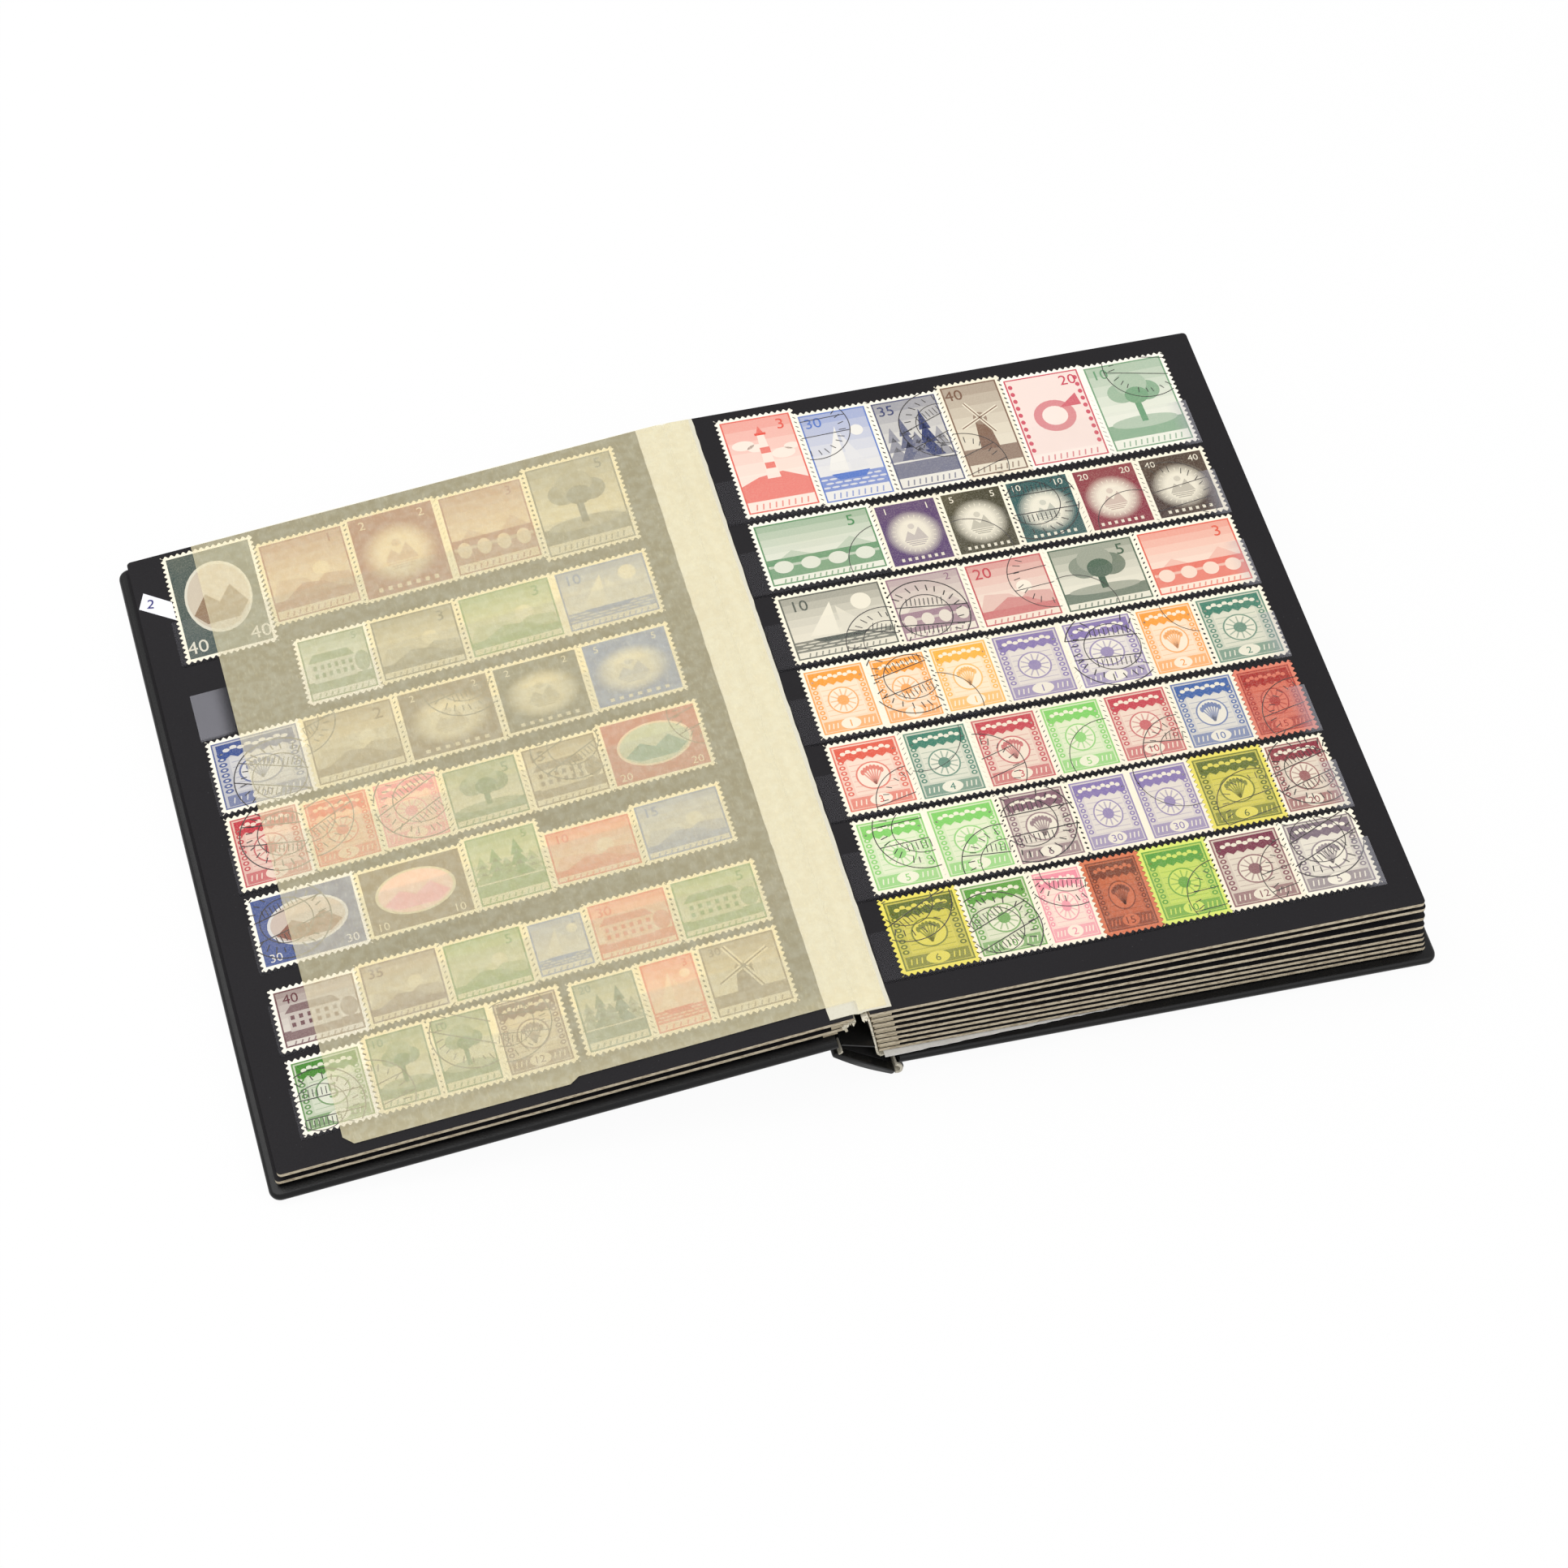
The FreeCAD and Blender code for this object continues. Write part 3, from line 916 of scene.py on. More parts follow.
class Drawing:
    """Flat shapes drawn on one stamp, in millimetres from its middle."""

    PRINT_RISE = 0.083
    LEVEL_RISE = 0.0063

    def __init__(self, maker: MeshMaker, place: Callable[[float, float, float], Vector],
                 figures: Numerals, ink: Colour, paper: Colour, depth: float) -> None:
        """Set where and with what the shapes are drawn.

        Args:
            maker: collects the faces.
            place: turns a point and its rise into a point of the row frame.
            figures: the plain figures.
            ink: the stamp's ink.
            paper: its paper's colour.
            depth: how much ink even the lightest shapes get.
        """
        self.maker = maker
        self.place = place
        self.figures = figures
        self.ink = ink
        self.paper = paper
        self.depth = depth

    def shade(self, strength: float, ink: Colour | None = None) -> Colour:
        """Return the ink at a strength of 0, bare paper, to 1, solid."""
        return blend_colours(self.paper, ink or self.ink, self.depth + (1.0 - self.depth) * strength)

    def _rise(self, level: int) -> float:
        """Return how high one of the ink's levels lies over the paper's underside."""
        return self.PRINT_RISE + self.LEVEL_RISE * level

    def shape(self, points: Iterable[Point], level: int, tint: Colour) -> None:
        """Draw a filled outline on one of the ink's levels."""
        rise = self._rise(level)
        corners = [self.place(x, y, rise) for x, y in points]
        self.maker.face(corners, tint)

    def box(self, x0: float, y0: float, x1: float, y1: float, level: int, tint: Colour) -> None:
        """Draw a filled rectangle."""
        self.shape(((x0, y0), (x1, y0), (x1, y1), (x0, y1)), level, tint)

    def disc(self, x: float, y: float, rx: float, ry: float, level: int, tint: Colour, n: int = 24) -> None:
        """Draw a filled ellipse."""
        turns = [i * (math.tau / n) for i in range(n)]
        self.shape(((x + rx * math.cos(a), y + ry * math.sin(a)) for a in turns), level, tint)

    def ring(self, y: float, inner: Point, outer: Point, level: int, tint: Colour, n: int = 28) -> None:
        """Draw the ring between two ellipses about a point on the upright middle line.

        Args:
            y: the middle's height.
            inner: the inner ellipse's half sizes.
            outer: the outer ellipse's half sizes.
            level: the ink's level.
            tint: its colour.
            n: the number of faces.
        """
        for i in range(n):
            ends = [(math.cos(a), math.sin(a)) for a in (math.tau * i / n, math.tau * (i + 1) / n)]
            low = [(inner[0] * c, y + inner[1] * s) for c, s in ends]
            high = [(outer[0] * c, y + outer[1] * s) for c, s in ends]
            self.shape((low[0], high[0], high[1], low[1]), level, tint)

    def frame(self, half_w: float, half_h: float, width: float, level: int, tint: Colour) -> None:
        """Draw the four bars of a frame, just inside a rectangle about the middle.

        Args:
            half_w: the rectangle's half width.
            half_h: its half height.
            width: the bars' width.
            level: the ink's level.
            tint: its colour.
        """
        in_w, in_h = half_w - width, half_h - width
        self.box(-half_w, -half_h, half_w, -in_h, level, tint)
        self.box(-half_w, in_h, half_w, half_h, level, tint)
        self.box(-half_w, -in_h, -in_w, in_h, level, tint)
        self.box(in_w, -in_h, half_w, in_h, level, tint)

    def bar(self, a: Point, b: Point, width: float, level: int, tint: Colour) -> None:
        """Draw a straight bar.

        Args:
            a: where it starts.
            b: where it ends.
            width: its width.
            level: the ink's level.
            tint: its colour.
        """
        length = math.hypot(b[0] - a[0], b[1] - a[1]) or 1.0
        nx = -(b[1] - a[1]) / length * width / 2
        ny = (b[0] - a[0]) / length * width / 2
        self.shape(((a[0] - nx, a[1] - ny), (b[0] - nx, b[1] - ny), (b[0] + nx, b[1] + ny),
                    (a[0] + nx, a[1] + ny)), level, tint)

    def number(self, text: str, x: float, y: float, height: float, level: int, tint: Colour) -> None:
        """Draw a number centred at a point.

        Args:
            text: its figures.
            x: the point's place across.
            y: its height.
            height: the figures' height.
            level: the ink's level.
            tint: its colour.
        """
        rise = self._rise(level)
        if text:
            self.maker.mesh(self.figures.get(text),
                            lambda co: self.place(x + co.x * height, y + co.y * height, rise), tint)


class Engraver:
    """Draws the generic designs in a stamp's printed area.

    Places and sizes are shares of the area's half width and half height, and tones are
    shares of the ink, unless a line says that it works in millimetres.
    """

    def __init__(self, pen: Drawing, half_w: float, half_h: float, stamp: Stamp) -> None:
        """Set the pen and the printed area.

        Args:
            pen: what the design is drawn with.
            half_w: the area's half width in millimetres.
            half_h: its half height.
            stamp: the stamp's design and number.
        """
        self.pen = pen
        self.w = half_w
        self.h = half_h
        self.ground = 0.0
        self.stamp = stamp

    def draw(self) -> None:
        """Draw the design that the stamp asks for."""
        motif = self.stamp.motif
        if motif is Motif.GLOW:
            self._glow()
        elif motif in (Motif.FIGURE, Motif.WHEEL, Motif.SHEAF):
            self._definitive()
        elif motif is Motif.OVAL:
            self._oval()
        else:
            self._picture()

    def _shape(self, points: Iterable[Point], level: int, tone: float, ink: Colour | None = None) -> None:
        """Draw a filled outline in one tone."""
        self.pen.shape(((x * self.w, y * self.h) for x, y in points), level, self.pen.shade(tone, ink))

    def _box(self, x0: float, y0: float, x1: float, y1: float, level: int, tone: float) -> None:
        """Draw a filled rectangle in one tone."""
        self._shape(((x0, y0), (x1, y0), (x1, y1), (x0, y1)), level, tone)

    def _disc(self, x: float, y: float, rx: float, ry: float, level: int, tone: float, n: int = 24,
              ink: Colour | None = None) -> None:
        """Draw a filled ellipse in one tone."""
        tint = self.pen.shade(tone, ink)
        self.pen.disc(x * self.w, y * self.h, rx * self.w, ry * self.h, level, tint, n)

    def _round(self, x: float, y: float, r: float, flat: float, level: int, tone: float) -> None:
        """Draw an ellipse whose radius is a share of the half width, flattened by a factor."""
        self.pen.disc(x * self.w, y * self.h, r * self.w, r * self.w * flat, level, self.pen.shade(tone))

    def _bar(self, a: Point, b: Point, width: float, level: int, tone: float) -> None:
        """Draw a straight bar; its width is in millimetres."""
        ends = [(x * self.w, y * self.h) for x, y in (a, b)]
        self.pen.bar(ends[0], ends[1], width, level, self.pen.shade(tone))

    def _number(self, x: float, y: float, size: float, level: int, tone: float) -> None:
        """Draw the stamp's number."""
        self.pen.number(self.stamp.value, x * self.w, y * self.h, size * self.h, level, self.pen.shade(tone))

    def _sky(self, low: float, steps: int = 6) -> None:
        """Fill the area with bands that lighten towards the horizon.

        Args:
            low: where the lowest band starts.
            steps: the number of bands.
        """
        for i in range(steps):
            y0 = low + (1 - low) * i / steps
            y1 = low + (1 - low) * (i + 1) / steps
            self._box(-1, y0, 1, y1, 0, 0.14 + 0.62 * (i / steps) ** 1.3)

    def _picture(self) -> None:
        """Draw a pictorial design: sky, ground, a motif, a tablet and a number."""
        wide = self.w > self.h
        foot = -0.78 if wide else -0.76
        self.ground = foot + 0.34
        self._sky(self.ground)
        self._box(-1, foot, 1, self.ground, 0, 0.84)
        getattr(self, "_" + self.stamp.motif.value)()
        self._box(-1, -1, 1, foot, 1, 0.10)
        self._ticks((-1 + foot) / 2)
        self.pen.frame(self.w, self.h, 0.45, 3, self.pen.shade(0.95))
        right = len(self.stamp.value) == 1 or self.stamp.ink in ("rose", "red")
        self._number(0.66 if right else -0.62, 0.68 if wide else 0.80, 0.34 if wide else 0.22, 6, 1.0)

    def _ticks(self, y: float) -> None:
        """Draw a row of short strokes, spaced in millimetres, as a plain ornament along a tablet.

        Args:
            y: the height of the row's middle.
        """
        reach = 0.82 * self.w
        count = max(4, int(2 * reach / 1.7))
        for i in range(count):
            x = -reach + 2 * reach * (i + 0.5) / count
            low, high = (x - 0.25, (y - 0.06) * self.h), (x + 0.25, (y + 0.06) * self.h)
            self.pen.bar(low, high, 0.42, 2, self.pen.shade(0.75))

    def _lighthouse(self) -> None:
        """A tower with a lantern on a rock, and clouds."""
        ground = self.ground
        for x, y, r in ((-0.55, 0.45, 0.32), (-0.2, 0.36, 0.26), (0.5, 0.18, 0.34), (0.78, 0.3, 0.22)):
            self._round(x, y, r, 0.55, 1, 0.10)
        self._shape(((-1, ground), (-0.4, ground + 0.16), (0.3, ground + 0.22), (1, ground)), 1, 0.85)
        foot, top = ground + 0.1, 0.62
        self._shape(((-0.17, foot), (0.21, foot), (0.12, top), (-0.08, top)), 2, 0.12)
        for k in (0.3, 0.62):
            y = ground + (top - ground) * k
            self._box(-0.12, y, 0.16, y + 0.13, 3, 0.85)
        self._box(-0.14, top, 0.18, top + 0.05, 3, 1.0)
        self._shape(((-0.08, top + 0.05), (0.12, top + 0.05), (0.02, top + 0.2)), 3, 0.9)

    def _ship(self) -> None:
        """A two-sailed boat on waves."""
        ground = self.ground
        for row in range(3):
            for i in range(7):
                x = -1 + (i + 0.5 + 0.5 * (row % 2)) * 2 / 7.5
                self._disc(x, ground - 0.08 - row * 0.09, 0.12, 0.022, 1, 0.25, 10)
        deck, keel = ground + 0.02, ground - 0.12
        self._shape(((-0.6, deck), (0.55, deck), (0.38, keel), (-0.4, keel)), 2, 1.0)
        self._shape(((-0.05, ground + 0.06), (-0.05, 0.66), (-0.62, ground + 0.12)), 2, 0.06)
        self._shape(((0.03, ground + 0.06), (0.03, 0.5), (0.58, ground + 0.1)), 2, 0.18)
        self._round(0.55, 0.5, 0.2, 1.0, 1, 0.05)

    def _pines(self) -> None:
        """A stand of firs against the sky."""
        ground = self.ground
        firs = ((-0.7, 0.95, 0.7), (0.72, 0.8, 0.65), (-0.3, 1.15, 0.9), (0.35, 1.3, 1.0), (0.0, 0.75, 0.8))
        for level, (x, tall, dark) in enumerate(firs, 1):
            for k in range(3):
                y = ground + tall * (0.04 + 0.24 * k)
                r = 0.36 - 0.09 * k
                self._shape(((x - r, y), (x + r, y), (x, y + tall * 0.36)), level, dark)

    def _windmill(self) -> None:
        """A mill with four sails; the sails work in millimetres, so that they stay square."""
        ground = self.ground
        self._shape(((-0.34, ground - 0.04), (0.34, ground - 0.04), (0.2, 0.2), (-0.2, 0.2)), 1, 0.95)
        self._disc(0.0, 0.22, 0.24, 0.14, 2, 0.8)
        hub, reach = (0.0, 0.24 * self.h), 0.82 * self.w
        for k in range(4):
            a = math.radians(28 + 90 * k)
            tip = (reach * math.cos(a), hub[1] + reach * math.sin(a))
            self.pen.bar(hub, tip, self.w * 0.15, 4, self.pen.shade(0.08))
            self.pen.bar(hub, tip, self.w * 0.04, 5, self.pen.shade(1.0))

    def _horn(self) -> None:
        """A coiled horn on a plain panel with a notched border."""
        self._box(-1, -0.76, 1, 1, 1, 0.18)
        self._disc(0.0, 0.04, 0.56, 0.36, 2, 0.75)
        self._disc(0.0, 0.04, 0.34, 0.22, 3, 0.12)
        self._shape(((0.2, 0.2), (0.72, 0.48), (0.78, 0.2)), 4, 0.9)
        for edge in (-1, 1):
            for i in range(10):
                self._disc(edge * 0.88, -0.66 + i * 0.165, 0.06, 0.05, 2, 0.95, 10)

    def _tree(self) -> None:
        """A broad tree on a knoll."""
        ground = self.ground
        self._disc(0.0, ground, 0.85, 0.14, 1, 0.6)
        self._bar((0.02, ground), (0.0, 0.3), self.w * 0.16, 2, 1.0)
        crown = ((-0.3, 0.3, 0.36, 0.75), (0.32, 0.28, 0.36, 0.85), (0.0, 0.48, 0.42, 0.65),
                 (0.05, 0.2, 0.3, 0.95))
        for level, (x, y, r, tone) in enumerate(crown, 3):
            self._round(x, y, r, 0.9, level, tone)

    def _bridge(self) -> None:
        """An arched bridge over water, with hills behind."""
        ground = self.ground
        ridge = ((-1, 0.0), (-0.5, 0.5), (0.1, 0.1), (0.55, 0.62), (1, 0.2), (1, 0.0))
        self._shape([(x, ground + y) for x, y in ridge], 1, 0.45)
        self._box(-1, ground + 0.08, 1, ground + 0.28, 2, 0.9)
        for k in range(4):
            self._disc(-0.72 + 0.48 * k, ground, 0.17, 0.2, 3, 0.2)

    def _barn(self) -> None:
        """A long house with rows of windows and a tree."""
        ground = self.ground
        x0, x1, y1 = -0.78, 0.5, ground + 0.62
        ridge = y1 + 0.26
        self._box(x0, ground - 0.05, x1, y1, 1, 0.34)
        self._shape(((x0 - 0.06, y1), (x1 + 0.06, y1), (x1 - 0.12, ridge), (x0 + 0.12, ridge)), 2, 0.85)
        for row in range(2):
            y = ground + 0.1 + 0.26 * row
            for i in range(6):
                x = x0 + (x1 - x0) * (i + 0.5) / 6
                self._box(x - 0.05, y, x + 0.05, y + 0.15, 3, 0.95)
        self._disc(0.74, ground + 0.34, 0.22, 0.34, 4, 0.75)

    def _hills(self) -> None:
        """Rolling fields with a low sun."""
        ground = self.ground
        self._round(0.3, ground + 0.5, 0.2, 1.0, 1, 0.02)
        low = ground - 0.1
        for k, (x, r, tone) in enumerate(((-0.5, 0.9, 0.4), (0.6, 0.8, 0.55), (0.0, 0.7, 0.75))):
            high = ground - 0.1 * k
            self._shape(((max(-1, x - r), low), (min(1, x + r), low), (min(1, x + 0.4 * r), high + 0.36),
                         (max(-1, x - 0.3 * r), high + 0.44)), 1 + k, tone)

    def _glow(self) -> None:
        """A dark panel with a bright round middle, a small view in it and two numbers."""
        p = self.pen
        middle = -0.04
        self._box(-1, -1, 1, 1, 0, 1.0)
        self._disc(0.0, middle, 0.46, 0.42, 1, 0.05, 28)
        sizes = [(self.w * (0.46 + 0.06 * i), self.h * (0.42 + 0.042 * i)) for i in range(9)]
        for i in range(8):
            tint = p.shade(0.07 + 0.93 * ((i + 0.5) / 8) ** 1.2)
            p.ring(middle * self.h, sizes[i], sizes[i + 1], 1, tint)
        self._shape(((-0.40, -0.26), (-0.20, 0.06), (-0.02, -0.1), (0.18, 0.16), (0.40, -0.26)), 2, 0.42)
        self._disc(-0.04, 0.2, 0.11, 0.09, 3, 0.30, 16)
        for i in range(3):
            half, y = 0.36 - 0.07 * i, -0.30 - 0.06 * i
            self._bar((-half, y), (half, y), 0.3, 3, 0.6)
        for i in range(24):
            x, y = math.cos(math.tau * i / 24), math.sin(math.tau * i / 24)
            self._bar((0.60 * x, middle + 0.52 * y), (0.72 * x, middle + 0.61 * y), 0.25, 2, 0.16)
        for i in range(7):
            x = -0.66 + 0.22 * i
            self._box(x - 0.05, -0.9, x + 0.05, -0.8, 3, 0.12)
        for edge in (-1, 1):
            self._number(edge * 0.70, 0.80, 0.2, 3, 0.04)

    def _definitive(self) -> None:
        """A small framed design: beaded sides, a dark band with a leaf spray, a medallion and one number."""
        p, rim = self.pen, 0.45
        self._box(-1, -1, 1, 1, 0, 0.90)
        p.box(-self.w + rim, -self.h + rim, self.w - rim, self.h - rim, 1, p.shade(0.34))
        self._box(-0.66, -0.56, 0.66, 0.5, 2, 0.20)
        for edge in (-1, 1):
            for i in range(8):
                y = -0.48 + 0.16 * i
                self._disc(edge * 0.82, y, 0.10, 0.066, 2, 0.95, 10)
                self._disc(edge * 0.82, y, 0.045, 0.03, 3, 0.15, 8)
        for i in range(6):
            y = -0.46 + 0.16 * i
            self._bar((-0.62, y), (0.62, y), 0.22, 3, 0.55)
        band = [(-0.9, 0.92), (-0.9, 0.56)]
        band += [(-0.9 + 0.15 * i, 0.56 - 0.09 * (i % 2)) for i in range(1, 12)]
        band += [(0.9, 0.56), (0.9, 0.92)]
        self._shape(band, 3, 1.0)
        for i in range(-4, 5):
            self._disc(0.17 * i, 0.73 + 0.05 * (i % 2), 0.085, 0.055, 4, 0.06, 10)
        self._bar((-0.74, 0.74), (0.74, 0.74), 0.25, 5, 0.1)
        self._middle(-0.04)
        self._box(-0.9, -0.94, 0.9, -0.62, 2, 0.80)
        self._disc(0.0, -0.77, 0.34, 0.17, 3, 0.06, 18)
        self._number(0.0, -0.77, 0.2, 4, 1.0)
        for edge in (-1, 1):
            for i in range(3):
                x = edge * (0.46 + 0.15 * i) * self.w
                p.bar((x - 0.2, -0.86 * self.h), (x + 0.2, -0.70 * self.h), 0.36, 3, p.shade(0.12))

    def _middle(self, y: float) -> None:
        """Draw the motif in the middle of a small design.

        Args:
            y: the height of the motif's middle.
        """
        self._disc(0.0, y, 0.52, 0.42, 4, 0.85, 26)
        self._disc(0.0, y, 0.47, 0.38, 5, 0.08, 26)
        if self.stamp.motif is Motif.WHEEL:
            for i in range(6):
                a = math.pi * i / 6
                dx, dy = 0.44 * math.cos(a), 0.35 * math.sin(a)
                self._bar((-dx, y - dy), (dx, y + dy), 0.42, 6, 0.62)
            self._disc(0.0, y, 0.2, 0.16, 7, 0.9, 16)
        elif self.stamp.motif is Motif.SHEAF:
            for i in range(7):
                a = math.radians(90 + (i - 3) * 13)
                tip = (0.46 * math.cos(a), -0.32 + 0.52 * math.sin(a))
                self._bar((0.0, -0.32), tip, 0.45, 6, 0.7)
                self.pen.disc(tip[0] * self.w, tip[1] * self.h, 0.55, 0.95, 7, self.pen.shade(0.85), 8)
        else:
            self._number(0.0, y, 0.42, 6, 0.9)

    def _oval(self) -> None:
        """A solid frame round an oval view in a second colour."""
        other = INK.get(self.stamp.second, self.pen.ink)
        self._box(-1, -1, 1, 1, 0, 0.95)
        self._disc(0.0, 0.06, 0.80, 0.70, 1, 0.06, 30)
        self._disc(0.0, 0.06, 0.74, 0.64, 2, 0.36, 30, other)
        self._shape(((-0.66, -0.2), (-0.3, 0.16), (0.0, -0.05), (0.32, 0.24), (0.66, -0.16), (0.4, -0.42),
                     (-0.4, -0.42)), 3, 0.95, other)
        for edge in (-1, 1):
            self._number(edge * 0.76, -0.8, 0.24, 3, 0.03)


class Postmark:
    """A round cancel of rings and bars, kept inside one stamp."""

    def __init__(self, pen: Drawing, half_w: float, half_h: float, dice: random.Random) -> None:
        """Set the pen and the area that the cancel may fall on.

        Args:
            pen: what it is drawn with.
            half_w: the area's half width in millimetres.
            half_h: its half height.
            dice: the source of chance.
        """
        self.pen = pen
        self.w = half_w
        self.h = half_h
        self.dice = dice
        self.ink = linear(44, 42, 46)
        self.middle = (0.0, 0.0)
        self.lean = 0.0

    def draw(self, weight: float) -> None:
        """Strike the cancel.

        Args:
            weight: how heavy the strike is, from 0 to 1.
        """
        dice = self.dice
        x = dice.choice((-1, 1)) * self.w * dice.uniform(0.35, 1.25)
        y = dice.choice((-1, 1)) * self.h * dice.uniform(0.2, 1.0)
        radius = dice.uniform(11.5, 13.5)
        line = 0.17 + 0.16 * weight
        if weight > 0.75:
            x, y = x * 0.4, y * 0.4
        self.middle = (x, y)
        self._arc(radius, line)
        if weight < 0.35:
            return
        self.lean = dice.uniform(-0.5, 0.5)
        for off in (-0.26, 0.26):
            self._chord(radius, off, line)
        if weight > 0.55:
            self._arc(radius * 0.60, line * 0.8)
            for i in range(9):
                self._hatch(radius, (i - 4) * 0.1, line * 0.8)
        for i in range(24):
            a = math.tau * i / 24 + dice.uniform(-0.06, 0.06)
            inner, outer = radius * 0.72, radius * dice.uniform(0.84, 0.9)
            self._stroke((x + inner * math.cos(a), y + inner * math.sin(a)),
                         (x + outer * math.cos(a + 0.05), y + outer * math.sin(a + 0.05)), line)

    def _inside(self, p: Point) -> bool:
        """Tell whether a point lies on the stamp's paper."""
        return abs(p[0]) < self.w and abs(p[1]) < self.h

    def _stroke(self, a: Point, b: Point, width: float) -> None:
        """Draw a short stroke if both its ends are on the stamp."""
        if self._inside(a) and self._inside(b):
            self.pen.bar(a, b, width, 8, self.ink)

    def _arc(self, radius: float, width: float) -> None:
        """Draw the part of a ring that falls on the stamp.

        Args:
            radius: the ring's radius.
            width: the line's width.
        """
        x, y = self.middle
        n = 72
        for i in range(n):
            a0, a1 = math.tau * i / n, math.tau * (i + 1.05) / n
            self._stroke((x + radius * math.cos(a0), y + radius * math.sin(a0)),
                         (x + radius * math.cos(a1), y + radius * math.sin(a1)), width)

    def _line(self, ends: Iterable[Point], width: float) -> None:
        """Draw a stroke whose two ends are given from the ring's middle, along and off its lean.

        Args:
            ends: the two ends in millimetres.
            width: the stroke's width.
        """
        x, y = self.middle
        c, s = math.cos(self.lean), math.sin(self.lean)
        a, b = ((x + u * c - v * s, y + u * s + v * c) for u, v in ends)
        self._stroke(a, b, width)

    def _chord(self, radius: float, off: float, width: float) -> None:
        """Draw a line across the ring in short strokes.

        Args:
            radius: the ring's radius.
            off: how far off the middle it runs, as a share of the radius.
            width: the line's width.
        """
        half = radius * math.sqrt(1 - off * off)
        n = 20
        for i in range(n):
            self._line([(-half + 2 * half * k / n, off * radius) for k in (i, i + 1.05)], width)

    def _hatch(self, radius: float, along: float, width: float) -> None:
        """Draw short upright bars in the two segments of the ring."""
        for edge in (-1, 1):
            self._line([(along * radius, edge * k * radius) for k in (0.30, 0.50)], width)


